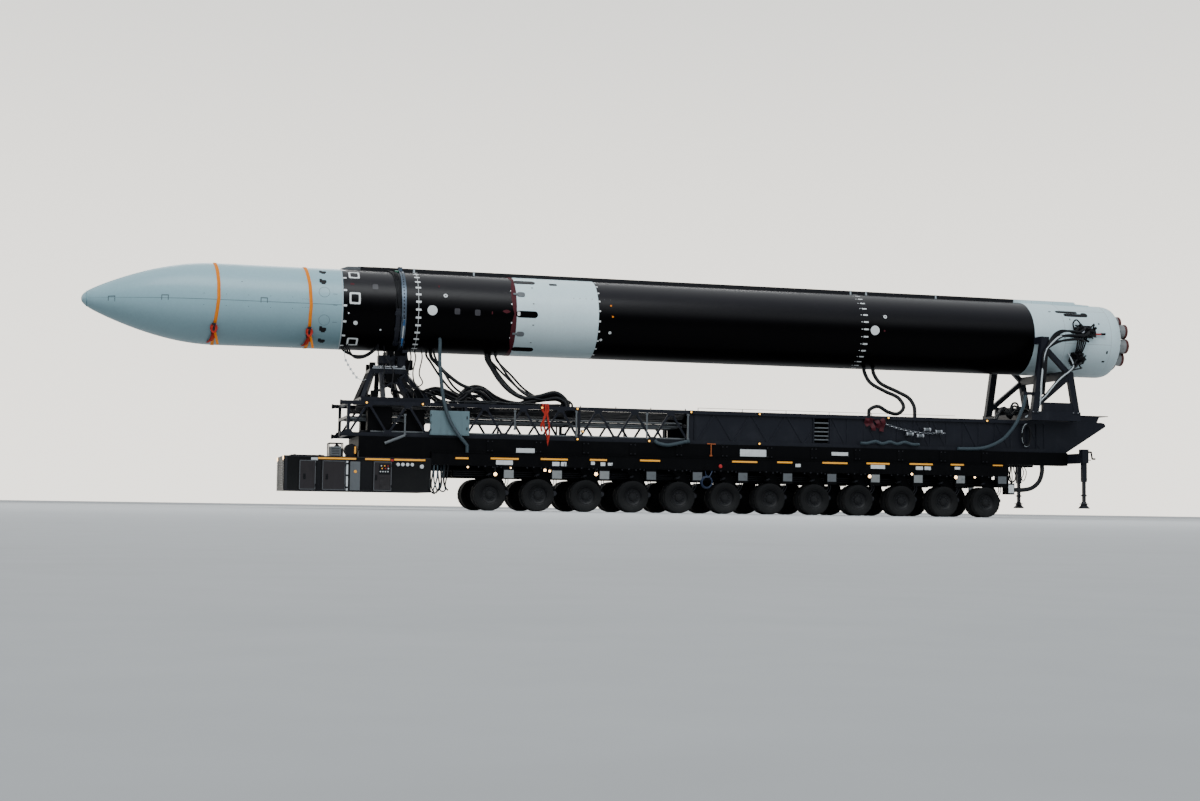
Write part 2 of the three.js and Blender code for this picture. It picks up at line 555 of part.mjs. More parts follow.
for (const [name, radius, steps, material, points] of hoses) {
  addPart(transporter, name, hose(points, radius, steps), material);
}

export default vehicle;
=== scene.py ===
import bpy
import bmesh
import numpy as np
from mathutils import Matrix


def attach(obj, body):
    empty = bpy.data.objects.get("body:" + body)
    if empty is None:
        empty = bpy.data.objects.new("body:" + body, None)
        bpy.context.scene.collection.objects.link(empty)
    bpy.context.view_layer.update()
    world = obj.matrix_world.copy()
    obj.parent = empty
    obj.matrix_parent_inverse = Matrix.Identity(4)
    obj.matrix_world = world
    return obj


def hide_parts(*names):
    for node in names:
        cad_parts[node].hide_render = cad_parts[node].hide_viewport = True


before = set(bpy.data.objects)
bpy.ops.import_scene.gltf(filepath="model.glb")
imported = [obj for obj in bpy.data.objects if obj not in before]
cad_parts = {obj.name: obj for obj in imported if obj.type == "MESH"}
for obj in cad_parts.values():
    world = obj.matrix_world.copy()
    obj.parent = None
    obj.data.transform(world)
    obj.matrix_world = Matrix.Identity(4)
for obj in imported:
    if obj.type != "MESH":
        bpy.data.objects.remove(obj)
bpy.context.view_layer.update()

scene = bpy.context.scene
print("frame loaded:", len(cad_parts), "nodes")

# main sizes of the vehicle in metres: X towards the nose, Y towards the service doors, Z up
rocket = {"axisZ": 4.94, "radius": 1.0, "sides": 144, "noseX": 13.92, "noseLength": 3.12,
    "fairingAftX": 7.78, "secondAftX": 3.48, "interstageAftX": 1.36, "tankAftX": -10.87,
    "skirtAftX": -13.52, "gap": 0.0003}
girder = {"chordHalf": 0.045, "lowZ": 1.815, "highZ": 2.58, "frontX": 7.6, "aftX": -1.0797, "bays": 9}
wheelbase = {"firstX": 4.12, "pitch": 1.2205, "count": 12, "y": 0.935, "radius": 0.4}
z = rocket["axisZ"]
onAxis = (0, 0, z)


# camera at the photograph's angle
cameraSettings = {"position": (11.99, 41.61, 0.10), "heading": 14.74, "pitch": 3.69, "roll": 0.81,
    "lens": 50.12}


def aimObject(name, data, right, up, back, position):
    # new object that looks along -back, with right and up as its own axes
    turn = np.eye(4)
    turn[:3] = np.stack([right, up, back, position], 1)
    item = bpy.data.objects.new(name, data)
    item.matrix_world = Matrix(turn.tolist())
    scene.collection.objects.link(item)
    return item


def addCamera(s):
    # forward, right and up directions from heading, pitch and roll
    yaw, pitch, roll = np.radians([s["heading"], s["pitch"], s["roll"]])
    forward = np.array([-np.sin(yaw) * np.cos(pitch), -np.cos(yaw) * np.cos(pitch), np.sin(pitch)])
    level = np.array([-np.cos(yaw), np.sin(yaw), 0.0])
    rise = np.cross(level, forward)
    right = np.cos(roll) * level + np.sin(roll) * rise
    up = -np.sin(roll) * level + np.cos(roll) * rise
    data = bpy.data.cameras.new("camera")
    data.lens = s["lens"]
    data.sensor_width = 36.0
    data.clip_end = 2000.0
    scene.camera = aimObject("camera", data, right, up, -forward, s["position"])


addCamera(cameraSettings)


# shapes: each is (points, list of face index arrays)
def gridFaces(nu, nv, closeU=False, closeV=False):
    # quads between neighbours of an nu by nv grid of points
    u, v = np.meshgrid(np.arange(nu - (not closeU)), np.arange(nv - (not closeV)), indexing="ij")
    nextU, nextV = (u + 1) % nu, (v + 1) % nv
    return np.stack([u * nv + v, nextU * nv + v, nextU * nv + nextV, u * nv + nextV], -1).reshape(-1, 4)


def gather(shapes):
    points, faces, start = [], [], 0
    for verts, faceArrays in shapes:
        points.append(verts)
        faces += [f + start for f in faceArrays]
        start += len(verts)
    return np.vstack(points), faces


def mirrored(shapes):
    # the same shapes on the other side of the middle plane
    return [(verts * (1, -1, 1), [f[:, ::-1] for f in faces]) for verts, faces in shapes]


def both(shapes):
    return shapes + mirrored(shapes)


def unit(vectors):
    return vectors / np.linalg.norm(vectors, axis=-1, keepdims=True)


def ringIndex(count):
    # index of each point of a ring and of the one after it
    return np.arange(count), (np.arange(count) + 1) % count


def fullTurn(count):
    # evenly spaced angles round a whole turn
    return np.linspace(0, 2 * np.pi, count, endpoint=False)


def distances(route):
    # distance along the route at each of its points
    return np.concatenate([[0], np.cumsum(np.linalg.norm(np.diff(route, axis=0), axis=1))])


def turned(profile, sides=48, origin=(0, 0, 0), axis=0, loop=False):
    # profile of (along, radius) turned about an axis: along * axis + radius * (cos, sin)
    p = np.array(profile, float)
    rings = p[p[:, 1] > 1e-6]
    angle = fullTurn(sides)
    along = np.repeat(rings[:, :1], sides, 1)
    verts = np.stack([along, rings[:, 1:] * np.cos(angle), rings[:, 1:] * np.sin(angle)], -1).reshape(-1, 3)
    faces = [gridFaces(len(rings), sides, loop, True)]
    here, after = ringIndex(sides)
    if p[0, 1] <= 1e-6:
        verts = np.vstack([verts, [p[0, 0], 0, 0]])
        faces.append(np.stack([np.full(sides, len(verts) - 1), here, after], -1))
    if p[-1, 1] <= 1e-6:
        last = (len(rings) - 1) * sides
        verts = np.vstack([verts, [p[-1, 0], 0, 0]])
        faces.append(np.stack([np.full(sides, len(verts) - 1), last + after, last + here], -1))
    return np.roll(verts, axis, axis=1) + np.array(origin, float), faces


def box(x0, x1, y0, y1, z0, z1):
    x, y, z = sorted((x0, x1)), sorted((y0, y1)), sorted((z0, z1))
    verts = np.array([[a, b, c] for a in x for b in y for c in z], float)
    quads = np.array([[0, 1, 3, 2], [4, 6, 7, 5], [0, 4, 5, 1], [2, 3, 7, 6], [0, 2, 6, 4], [1, 5, 7, 3]])
    return verts, [quads]


def block(x, y, z0, z1, halfX, halfY):
    # upright box centred on (x, y)
    return box(x - halfX, x + halfX, y - halfY, y + halfY, z0, z1)


def bar(p, q, width, height=None, lean=(0, 0, 1)):
    # box along p to q; height points towards lean
    p, q = np.array(p, float), np.array(q, float)
    height = width if height is None else height
    along = unit(q - p)
    lean = np.array(lean, float) if abs(along @ np.array(lean)) < 0.99 else np.array([1.0, 0, 0])
    side = unit(np.cross(lean, along))
    verts, faces = box(0, np.linalg.norm(q - p), -width / 2, width / 2, -height / 2, height / 2)
    return p + verts @ np.array([along, side, np.cross(along, side)]), faces


def plate(outline, thickness, centre=0.0, plane="xz"):
    # flat outline given a thickness across its plane
    o = np.array(outline, float)
    n = len(o)
    axes = {"xz": (0, 2, 1), "yz": (1, 2, 0), "xy": (0, 1, 2)}[plane]
    verts = np.zeros((2 * n, 3))
    verts[:, axes[0]] = np.tile(o[:, 0], 2)
    verts[:, axes[1]] = np.tile(o[:, 1], 2)
    verts[:, axes[2]] = centre + np.repeat([-thickness / 2, thickness / 2], n)
    here, after = ringIndex(n)
    return verts, [np.stack([here, after, after + n, here + n], -1), np.arange(n)[None, ::-1],
        np.arange(n, 2 * n)[None]]


def smoothRoute(points, count=32, perSpan=24):
    # centripetal Catmull-Rom curve through the points, then evenly spaced along its length
    p = np.array(points, float)
    p = np.vstack([2 * p[0] - p[1], p, 2 * p[-1] - p[-2]])
    d = np.sqrt(np.linalg.norm(np.diff(p, axis=0), axis=1))
    a, b, c = d[:-2, None], d[1:-1, None], d[2:, None]
    x0, x1, x2, x3 = p[:-3], p[1:-2], p[2:-1], p[3:]
    t1 = ((x1 - x0) / a - (x2 - x0) / (a + b) + (x2 - x1) / b) * b
    t2 = ((x2 - x1) / b - (x3 - x1) / (b + c) + (x3 - x2) / c) * b
    t = np.linspace(0, 1, perSpan, endpoint=False)[:, None, None]
    curve = (2 * t**3 - 3 * t**2 + 1) * x1 + (t**3 - 2 * t**2 + t) * t1
    curve = curve + (3 * t**2 - 2 * t**3) * x2 + (t**3 - t**2) * t2
    curve = np.vstack([curve.transpose(1, 0, 2).reshape(-1, 3), p[-2]])
    s = distances(curve)
    even = np.linspace(0, s[-1], count)
    return np.stack([np.interp(even, s, curve[:, k]) for k in range(3)], -1)


def tube(route, radius, sides=12):
    # circle of the given radius carried along the route, square to it, closed by a fan at each end
    route = np.array(route, float)
    tangent = unit(np.gradient(route, axis=0))
    reference = np.linalg.svd(route - route.mean(0) + 1e-9 * np.eye(len(route), 3))[2][-1]
    side = unit(np.cross(reference, tangent))
    top = np.cross(tangent, side)
    angle = fullTurn(sides)
    across, up = np.cos(angle)[:, None] * side[:, None], np.sin(angle)[:, None] * top[:, None]
    rings = route[:, None] + radius * (across + up)
    n = len(route)
    verts = np.vstack([rings.reshape(-1, 3), route[0], route[-1]])
    here, after = ringIndex(sides)
    last = (n - 1) * sides
    faces = [gridFaces(n, sides, False, True), np.stack([np.full(sides, n * sides), after, here], -1),
        np.stack([np.full(sides, n * sides + 1), last + here, last + after], -1)]
    return verts, faces


def cable(points, count, radius, sides=8):
    return tube(smoothRoute(points, count), radius, sides)


def rod(p, q, radius, sides=12):
    return tube(np.linspace(p, q, 3), radius, sides)


def shellOf(outer, inner):
    # two grids of the same size joined along their four borders into one closed wall
    nu, nv = outer.shape[:2]
    count = nu * nv
    index = np.arange(count).reshape(nu, nv)
    border = np.concatenate([index[0, :-1], index[:-1, -1], index[-1, :0:-1], index[:0:-1, 0]])
    nextBorder = np.roll(border, -1)
    faces = [gridFaces(nu, nv), gridFaces(nu, nv)[:, ::-1] + count, np.stack([border, nextBorder,
        nextBorder + count, border + count], -1)]
    return np.vstack([outer.reshape(-1, 3), inner.reshape(-1, 3)]), faces


def onBody(x, angle, radius):
    # point of the rocket's skin: angle in degrees from the top towards +Y
    a = np.radians(angle)
    x, a, radius = np.broadcast_arrays(x, a, radius)
    return np.stack([x, radius * np.sin(a), rocket["axisZ"] + radius * np.cos(a)], -1)


def bodyBand(x0, x1, angle0, angle1, low, high, steps=None):
    # curved plate on the skin between two stations and two angles
    steps = steps or max(3, int(abs(angle1 - angle0) / 2.5) + 2)
    x, angle = np.meshgrid([x0, x1], np.linspace(angle0, angle1, steps), indexing="ij")
    return shellOf(onBody(x, angle, high), onBody(x, angle, low))


def skinPatch(x, angle, u, v, lift, sink, start=0.02, middle=0.5, hollow=False):
    # thin patch on the skin with the outline u along and v round the body; start and middle are the
    # shares of the outline at which its inner rings lie
    scale = np.array([start, middle, 1, 1, middle, start])[:, None]
    level = rocket["radius"] + np.repeat([lift, -sink], 3)[:, None]
    count = len(u)
    faces = [gridFaces(6, count, hollow, True)]
    if not hollow:
        faces += [np.arange(count)[None, ::-1], np.arange(5 * count, 6 * count)[None]]
    return onBody(x + scale * u, angle + np.degrees(scale * v), level).reshape(-1, 3), faces


def bodyMark(x, angle, length, arc, power=2.0, hole=0.0, lift=0.0015, count=36, skew=0.0):
    # patch with the superellipse outline |u|^power + |v|^power = 1
    t = fullTurn(count)
    u, v = (np.sign(w) * np.abs(w) ** (2 / power) * size / 2 for w, size in ((np.cos(t), length),
        (np.sin(t), arc)))
    start = hole or 0.02
    return skinPatch(x, angle, u + skew * v, v, lift, 0.001, start, (start + 1) / 2, bool(hole))


def addPiece(name, shapes, material, body="vehicle", slot=None, replaces=(), bevel=0.0, smooth=40,
        attributes=None):
    verts, faces = gather(shapes if isinstance(shapes, list) else [shapes])
    mesh = bpy.data.meshes.new(name)
    mesh.from_pydata(verts.tolist(), [], [face for array in faces for face in array.tolist()])
    work = bmesh.new()
    work.from_mesh(mesh)
    bmesh.ops.recalc_face_normals(work, faces=work.faces)
    work.to_mesh(mesh)
    work.free()
    for key, values in (attributes or {}).items():
        mesh.attributes.new(key, "FLOAT", "POINT").data.foreach_set("value", np.asarray(values, np.float32))
    mesh.shade_smooth()
    mesh.set_sharp_from_angle(angle=np.radians(smooth))
    mesh.materials.append(material)
    piece = bpy.data.objects.new(name, mesh)
    scene.collection.objects.link(piece)
    if bevel:
        edge = piece.modifiers.new("edges", "BEVEL")
        edge.width, edge.segments, edge.limit_method, edge.angle_limit = bevel, 2, "ANGLE", np.radians(50)
        edge.harden_normals = True
    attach(piece, body)
    if replaces:
        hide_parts(*replaces)
    return piece


# materials
def newGroup(name, inputs, outputs):
    group = bpy.data.node_groups.new(name, "ShaderNodeTree")
    kinds = {"color": "NodeSocketColor", "value": "NodeSocketFloat", "vector": "NodeSocketVector"}
    for label, kind, value in inputs:
        socket = group.interface.new_socket(name=label, in_out="INPUT", socket_type=kinds[kind])
        socket.default_value = value
    for label, kind in outputs:
        group.interface.new_socket(name=label, in_out="OUTPUT", socket_type=kinds[kind])
    return group, group.nodes.new("NodeGroupInput").outputs, group.nodes.new("NodeGroupOutput").inputs


def feed(tree, socket, value):
    # links the socket to another node's output, or sets its value
    if isinstance(value, bpy.types.NodeSocket):
        tree.links.new(value, socket)
    else:
        socket.default_value = value


def mathNode(tree, operation, *values, clamp=False):
    node = tree.nodes.new("ShaderNodeMath")
    node.operation, node.use_clamp = operation, clamp
    for socket, value in zip(node.inputs, values):
        feed(tree, socket, value)
    return node.outputs[0]


def mixColor(tree, factor, a, b, blend="MIX"):
    node = tree.nodes.new("ShaderNodeMix")
    node.data_type, node.blend_type = "RGBA", blend
    for index, value in ((0, factor), (6, a), (7, b)):
        feed(tree, node.inputs[index], value)
    return node.outputs[2]


def noiseNode(tree, vector, scale, detail, roughness):
    node = tree.nodes.new("ShaderNodeTexNoise")
    for key, value in (("Vector", vector), ("Scale", scale), ("Detail", detail), ("Roughness", roughness)):
        feed(tree, node.inputs[key], value)
    return node.outputs["Fac"]


def stepMask(tree, value, low, high):
    node = tree.nodes.new("ShaderNodeMapRange")
    node.interpolation_type = "SMOOTHSTEP"
    for index, level in enumerate((value, low, high)):
        feed(tree, node.inputs[index], level)
    return node.outputs[0]


def stretched(tree, vector, factors):
    node = tree.nodes.new("ShaderNodeVectorMath")
    node.operation = "MULTIPLY"
    feed(tree, node.inputs[0], vector)
    feed(tree, node.inputs[1], factors)
    return node.outputs[0]


def addBump(tree, strength, distance, height, normal=None):
    node = tree.nodes.new("ShaderNodeBump")
    for key, value in (("Strength", strength), ("Distance", distance), ("Height", height)):
        feed(tree, node.inputs[key], value)
    if normal is not None:
        tree.links.new(normal, node.inputs["Normal"])
    return node.outputs[0]


def buildWeathering():
    # colour changes, dirt patches, vertical runs and dust that lies thicker near the ground
    group, given, out = newGroup("weathering", [("Color", "color", (0.5, 0.5, 0.5, 1)),
        ("Dirt Color", "color", (0.1, 0.09, 0.08, 1)), ("Dirt", "value", 0.3), ("Runs", "value", 0.2),
        ("Scale", "value", 2.0), ("Roughness", "value", 0.5), ("Dust", "value", 0.0),
        ("Dust Top", "value", 1.4)], [("Color", "color"), ("Roughness", "value"), ("Height", "value")])
    place = group.nodes.new("ShaderNodeTexCoord").outputs["Object"]
    broad = noiseNode(group, place, given["Scale"], 5.0, 0.62)
    fine = noiseNode(group, place, mathNode(group, "MULTIPLY", given["Scale"], 22.0), 3.0, 0.6)
    runs = noiseNode(group, stretched(group, place, (5.0, 5.0, 0.5)), given["Scale"], 3.0, 0.5)
    patch = mathNode(group, "MULTIPLY", stepMask(group, broad, 0.5, 0.78), given["Dirt"])
    drip = mathNode(group, "MULTIPLY", stepMask(group, runs, 0.52, 0.8), given["Runs"])
    dirt = mathNode(group, "ADD", patch, drip, clamp=True)
    split = group.nodes.new("ShaderNodeSeparateXYZ")
    group.links.new(place, split.inputs[0])
    low = mathNode(group, "SUBTRACT", 1.0, stepMask(group, split.outputs[2], 0.0, given["Dust Top"]))
    grain = stepMask(group, fine, 0.3, 0.7)
    dusty = mathNode(group, "MULTIPLY", mathNode(group, "MULTIPLY", low, given["Dust"]),
        mathNode(group, "MULTIPLY_ADD", grain, 0.5, mathNode(group, "MULTIPLY", broad, 0.8)), clamp=True)
    tone = mathNode(group, "MULTIPLY_ADD", fine, 0.16, mathNode(group, "MULTIPLY_ADD", broad, 0.2, 0.82))
    shade = group.nodes.new("ShaderNodeCombineXYZ")
    for socket in shade.inputs:
        group.links.new(tone, socket)
    varied = mixColor(group, 1.0, given["Color"], shade.outputs[0], "MULTIPLY")
    soiled = mixColor(group, dirt, varied, given["Dirt Color"])
    dustColor = (0.33, 0.33, 0.32, 1)
    group.links.new(mixColor(group, dusty, soiled, dustColor), out["Color"])
    rough = mathNode(group, "MULTIPLY_ADD", dirt, 0.25, given["Roughness"])
    rough = mathNode(group, "MULTIPLY_ADD", dusty, 0.35, rough)
    group.links.new(mathNode(group, "MULTIPLY_ADD", fine, 0.1, mathNode(group, "SUBTRACT", rough, 0.05),
        clamp=True), out["Roughness"])
    group.links.new(mathNode(group, "MULTIPLY_ADD", fine, 0.35, broad), out["Height"])
    return group


def buildEdgeWear():
    # paint rubbed off along edges: where a rounded normal differs from the face's own, broken up by noise
    group, given, out = newGroup("edgeWear", [("Color", "color", (0.5, 0.5, 0.5, 1)),
        ("Bare Color", "color", (0.3, 0.3, 0.3, 1)), ("Amount", "value", 0.5), ("Width", "value", 0.01)],
        [("Color", "color"), ("Mask", "value")])
    round_ = group.nodes.new("ShaderNodeBevel")
    round_.samples = 3
    group.links.new(given["Width"], round_.inputs["Radius"])
    flat = group.nodes.new("ShaderNodeNewGeometry").outputs["Normal"]
    dot = group.nodes.new("ShaderNodeVectorMath")
    dot.operation = "DOT_PRODUCT"
    group.links.new(round_.outputs[0], dot.inputs[0])
    group.links.new(flat, dot.inputs[1])
    edge = mathNode(group, "SUBTRACT", 1.0, dot.outputs["Value"])
    place = group.nodes.new("ShaderNodeTexCoord").outputs["Object"]
    broken = stepMask(group, noiseNode(group, place, 14.0, 5.0, 0.7), 0.42, 0.62)
    worn = mathNode(group, "MULTIPLY", stepMask(group, edge, 0.02, 0.25),
        mathNode(group, "MULTIPLY", broken, given["Amount"]))
    group.links.new(mixColor(group, worn, given["Color"], given["Bare Color"]), out["Color"])
    group.links.new(worn, out["Mask"])
    return group


def buildRibs():
    # rings of a hose and weave of a strap, from the distances along and across it
    group, given, out = newGroup("ribs", [("Pitch", "value", 0.02), ("Weave", "value", 0.0)],
        [("Height", "value")])
    waves = []
    for name in ("along", "across"):
        place = group.nodes.new("ShaderNodeAttribute")
        place.attribute_name = name
        turns = mathNode(group, "MULTIPLY", place.outputs["Fac"], 6.2832)
        waves.append(mathNode(group, "SINE", mathNode(group, "DIVIDE", turns, given["Pitch"])))
    cross = mathNode(group, "MULTIPLY", waves[1], given["Weave"])
    group.links.new(mathNode(group, "ADD", waves[0], cross), out["Height"])
    return group


weathering, edgeWear, ribs = buildWeathering(), buildEdgeWear(), buildRibs()


def addGroup(tree, group, values):
    node = tree.nodes.new("ShaderNodeGroup")
    node.node_tree = group
    for key, value in values.items():
        feed(tree, node.inputs[key], value)
    return node.outputs


def finish(name, color, roughness=0.5, metallic=0.0, dirt=0.3, runs=0.2, dirtColor=(0.05, 0.045, 0.04),
        scale=2.0, dust=0.0, dustTop=1.4, wear=0.0, bare=(0.22, 0.22, 0.23), wearWidth=0.01, bump=0.15,
        relief=0.004, coat=0.0, coatRoughness=0.12, pitch=0.0, weave=0.0, ribBump=0.8, ribRelief=0.004,
        glow=None, glowStrength=0.0, specular=0.5, downShade=None):
    material = bpy.data.materials.new(name)
    material.use_nodes = True
    tree = material.node_tree
    shader = tree.nodes["Principled BSDF"]
    for key, value in (("Metallic", metallic), ("Coat Weight", coat), ("Coat Roughness", coatRoughness),
            ("Specular IOR Level", specular)):
        shader.inputs[key].default_value = value
    old = addGroup(tree, weathering, {"Color": (*color, 1), "Dirt Color": (*dirtColor, 1), "Dirt": dirt,
        "Runs": runs, "Scale": scale, "Roughness": roughness, "Dust": dust, "Dust Top": dustTop})
    shown, height = old["Color"], old["Height"]
    if wear:
        shown = addGroup(tree, edgeWear, {"Color": shown, "Bare Color": (*bare, 1), "Amount": wear,
            "Width": wearWidth})["Color"]
    if downShade:
        # painted shade: faces that look down get a darker colour and a weaker reflection, which stands in
        # for the shade below the body
        low, high, least = downShade
        facing = tree.nodes.new("ShaderNodeSeparateXYZ")
        tree.links.new(tree.nodes.new("ShaderNodeNewGeometry").outputs["Normal"], facing.inputs[0])
        up = stepMask(tree, facing.outputs[2], low, high)
        shown = mixColor(tree, up, mixColor(tree, 1.0, shown, (least, least, least, 1), "MULTIPLY"), shown)
        tree.links.new(mathNode(tree, "MULTIPLY_ADD", up, specular * (1 - least), specular * least),
            shader.inputs["Specular IOR Level"])
    tree.links.new(shown, shader.inputs["Base Color"])
    tree.links.new(old["Roughness"], shader.inputs["Roughness"])
    normal = addBump(tree, bump, relief, height)
    if pitch:
        rings = addGroup(tree, ribs, {"Pitch": pitch, "Weave": weave})["Height"]
        normal = addBump(tree, ribBump, ribRelief, rings, normal)
    tree.links.new(normal, shader.inputs["Normal"])
    if glow:
        shader.inputs["Emission Color"].default_value = (*glow, 1)
        shader.inputs["Emission Strength"].default_value = glowStrength
    return material


# painted shade: the fairing wears a far darker, bluer copy of the rocket's white, and its faces that look
# down are darkened further
fairingShadedWhite = finish("fairingShadedWhite", (0.29, 0.46, 0.515), 0.38, dirt=0.14, runs=0.08,
    dirtColor=(0.21, 0.33, 0.37), scale=0.7, bump=0.06, coat=0.12, downShade=(-1.0, 0.15, 0.55))
# painted shade: faces that look down are made darker and duller
stageWhite = finish("stageWhite", (0.64, 0.79, 0.82), 0.42, dirt=0.16, runs=0.1,
    dirtColor=(0.4, 0.47, 0.49), scale=0.9, bump=0.08, coat=0.12, downShade=(-1.0, 0.1, 0.7))
seamGrey = finish("seamGrey", (0.09, 0.135, 0.15), 0.55, dirt=0.2, runs=0.1, dirtColor=(0.05, 0.08, 0.09),
    scale=4.0)
markWhite = finish("markWhite", (0.78, 0.8, 0.79), dirt=0.2, runs=0.1, dirtColor=(0.4, 0.4, 0.4), scale=5.0)
markGrey = finish("markGrey", (0.42, 0.47, 0.49), runs=0.1, dirtColor=(0.3, 0.32, 0.33), scale=4.0)
# painted shade: only faces that look nearly straight up keep the full colour and reflection; the sides and
# the faces that look down are made far darker and duller
stageBlack = finish("stageBlack", (0.0045, 0.0028, 0.0055), 0.33, dirt=0.22,
    dirtColor=(0.010, 0.006, 0.010), scale=1.1, bump=0.10, relief=0.003, specular=0.42,
    downShade=(-0.1, 0.95, 0.1))
ductBlack = finish("ductBlack", (0.005, 0.005, 0.007), 0.45, dirtColor=(0.012, 0.011, 0.014), scale=3.0,
    wear=0.3, bare=(0.04, 0.04, 0.045), specular=0.25)
crimson = finish("crimson", (0.065, 0.006, 0.011), 0.55, dirt=0.5, runs=0.3,
    dirtColor=(0.016, 0.004, 0.006), scale=7.0, specular=0.2)
frameGrey = finish("frameGrey", (0.0062, 0.0072, 0.0125), 0.45, dirt=0.4, runs=0.35,
    dirtColor=(0.018, 0.019, 0.026), scale=1.8, dust=0.03, dustTop=3.0, wear=0.4, bare=(0.07, 0.078, 0.092),
    coat=0.02, specular=0.22)
bedBlack = finish("bedBlack", (0.0014, 0.0014, 0.0019), 0.55, dirt=0.4, runs=0.35,
    dirtColor=(0.005, 0.0047, 0.005), scale=2.2, dust=0.02, dustTop=1.3, wear=0.4, bare=(0.03, 0.03, 0.035),
    specular=0.07)
packBlack = finish("packBlack", (0.0042, 0.0042, 0.0047), dirt=0.4, runs=0.35,
    dirtColor=(0.011, 0.0105, 0.011), scale=2.2, dust=0.04, dustTop=1.3, wear=0.5, bare=(0.05, 0.05, 0.055),
    specular=0.15)
doorGrey = finish("doorGrey", (0.026, 0.022, 0.024), dirt=0.4, runs=0.5, dirtColor=(0.012, 0.010, 0.011),
    scale=2.5, dust=0.04, dustTop=1.2, wear=0.5, bare=(0.10, 0.10, 0.10), specular=0.2)
cabinetGrey = finish("cabinetGrey", (0.125, 0.19, 0.21), 0.45, dirt=0.25, runs=0.4,
    dirtColor=(0.06, 0.085, 0.095), wear=0.3, bare=(0.24, 0.28, 0.29), coat=0.08, specular=0.35)
clampSteel = finish("clampSteel", (0.105, 0.135, 0.175), 0.34, 0.8, dirt=0.4,
    dirtColor=(0.03, 0.035, 0.045), scale=5.0)
brightSteel = finish("brightSteel", (0.5, 0.51, 0.53), 0.28, 1.0, dirtColor=(0.15, 0.15, 0.16), scale=6.0)
darkSteel = finish("darkSteel", (0.035, 0.035, 0.04), 0.42, 0.7, dirt=0.4, dirtColor=(0.014, 0.012, 0.011),
    scale=5.0, specular=0.3)
nozzleRed = finish("nozzleRed", (0.10, 0.022, 0.02), 0.4, 0.5, dirt=0.5, runs=0.3,
    dirtColor=(0.02, 0.014, 0.014), scale=6.0)
nozzlePale = finish("nozzlePale", (0.26, 0.27, 0.27), 0.45, 0.3, dirt=0.5, dirtColor=(0.06, 0.045, 0.04),
    scale=6.0)
strapOrange = finish("strapOrange", (0.80, 0.22, 0.004), 0.7, dirt=0.2, dirtColor=(0.4, 0.09, 0.004),
    scale=4.0, pitch=0.012, weave=0.6, ribRelief=0.0015, specular=0.25)
strapRed = finish("strapRed", (0.42, 0.022, 0.010), 0.7, dirtColor=(0.16, 0.008, 0.006), scale=5.0,
    pitch=0.012, weave=0.6, ribRelief=0.0015, specular=0.25)
hoseBlack = finish("hoseBlack", (0.0045, 0.0055, 0.0075), 0.42, dirtColor=(0.012, 0.014, 0.018), scale=3.0,
    pitch=0.03, coat=0.05, specular=0.3)
hoseGrey = finish("hoseGrey", (0.040, 0.062, 0.075), 0.45, dirtColor=(0.016, 0.026, 0.032), scale=3.0,
    pitch=0.026, ribRelief=0.005, specular=0.4)
hosePale = finish("hosePale", (0.58, 0.63, 0.65), 0.45, dirtColor=(0.2, 0.22, 0.23), scale=4.0, pitch=0.016,
    ribRelief=0.002)
cableBlack = finish("cableBlack", (0.0035, 0.0035, 0.005), dirt=0.2, dirtColor=(0.010, 0.010, 0.012),
    scale=6.0, specular=0.22)
tyreBlack = finish("tyreBlack", (0.0045, 0.0045, 0.0048), 0.8, dirt=0.5, runs=0.0,
    dirtColor=(0.014, 0.013, 0.012), scale=4.0, dust=0.06, dustTop=0.6, bump=0.5, relief=0.003,
    specular=0.2)
rimDark = finish("rimDark", (0.008, 0.008, 0.009), 0.5, 0.2, dirt=0.5, dirtColor=(0.022, 0.018, 0.015),
    scale=5.0, dust=0.05, dustTop=0.6, specular=0.3)
plateWhite = finish("plateWhite", (0.72, 0.74, 0.74), dirt=0.25, runs=0.3, dirtColor=(0.3, 0.3, 0.3),
    scale=6.0)
# painted glow: the amber paint gives off a faint light of its own, though the strips, reflector, marker and
# buttons that wear it are not lamps
amber = finish("amber", (0.85, 0.36, 0.02), 0.4, dirt=0.2, dirtColor=(0.4, 0.15, 0.02), scale=8.0,
    glow=(1.0, 0.45, 0.06), glowStrength=0.3)
amberLamp = finish("amberLamp", (0.9, 0.45, 0.05), 0.3, dirt=0.1, scale=8.0, glow=(1.0, 0.5, 0.08),
    glowStrength=2.0)
workLamp = finish("workLamp", (0.9, 0.8, 0.6), 0.3, dirt=0.1, scale=8.0, glow=(1.0, 0.60, 0.26),
    glowStrength=6.0)
redPlastic = finish("redPlastic", (0.45, 0.02, 0.02), 0.4, dirtColor=(0.12, 0.01, 0.01), scale=8.0)
rustOrange = finish("rustOrange", (0.42, 0.10, 0.02), 0.45, dirt=0.4, dirtColor=(0.14, 0.03, 0.01),
    scale=8.0)
bluePlastic = finish("bluePlastic", (0.015, 0.11, 0.30), 0.4, dirtColor=(0.01, 0.04, 0.10), scale=8.0)
navyPlastic = finish("navyPlastic", (0.008, 0.022, 0.06), 0.4, dirtColor=(0.006, 0.012, 0.03), scale=8.0)
greenPlastic = finish("greenPlastic", (0.02, 0.14, 0.08), 0.45, dirtColor=(0.01, 0.04, 0.03), scale=8.0)
panelGrey = finish("panelGrey", (0.11, 0.12, 0.128), dirt=0.35, dirtColor=(0.045, 0.045, 0.048), scale=5.0,
    wear=0.3)
print("materials made")


def landing(x, y):
    # last points of a hose that comes down straight on the girder's top plate
    return [(x, y, 2.785), (x, y, 2.705), (x, y, 2.6253)]


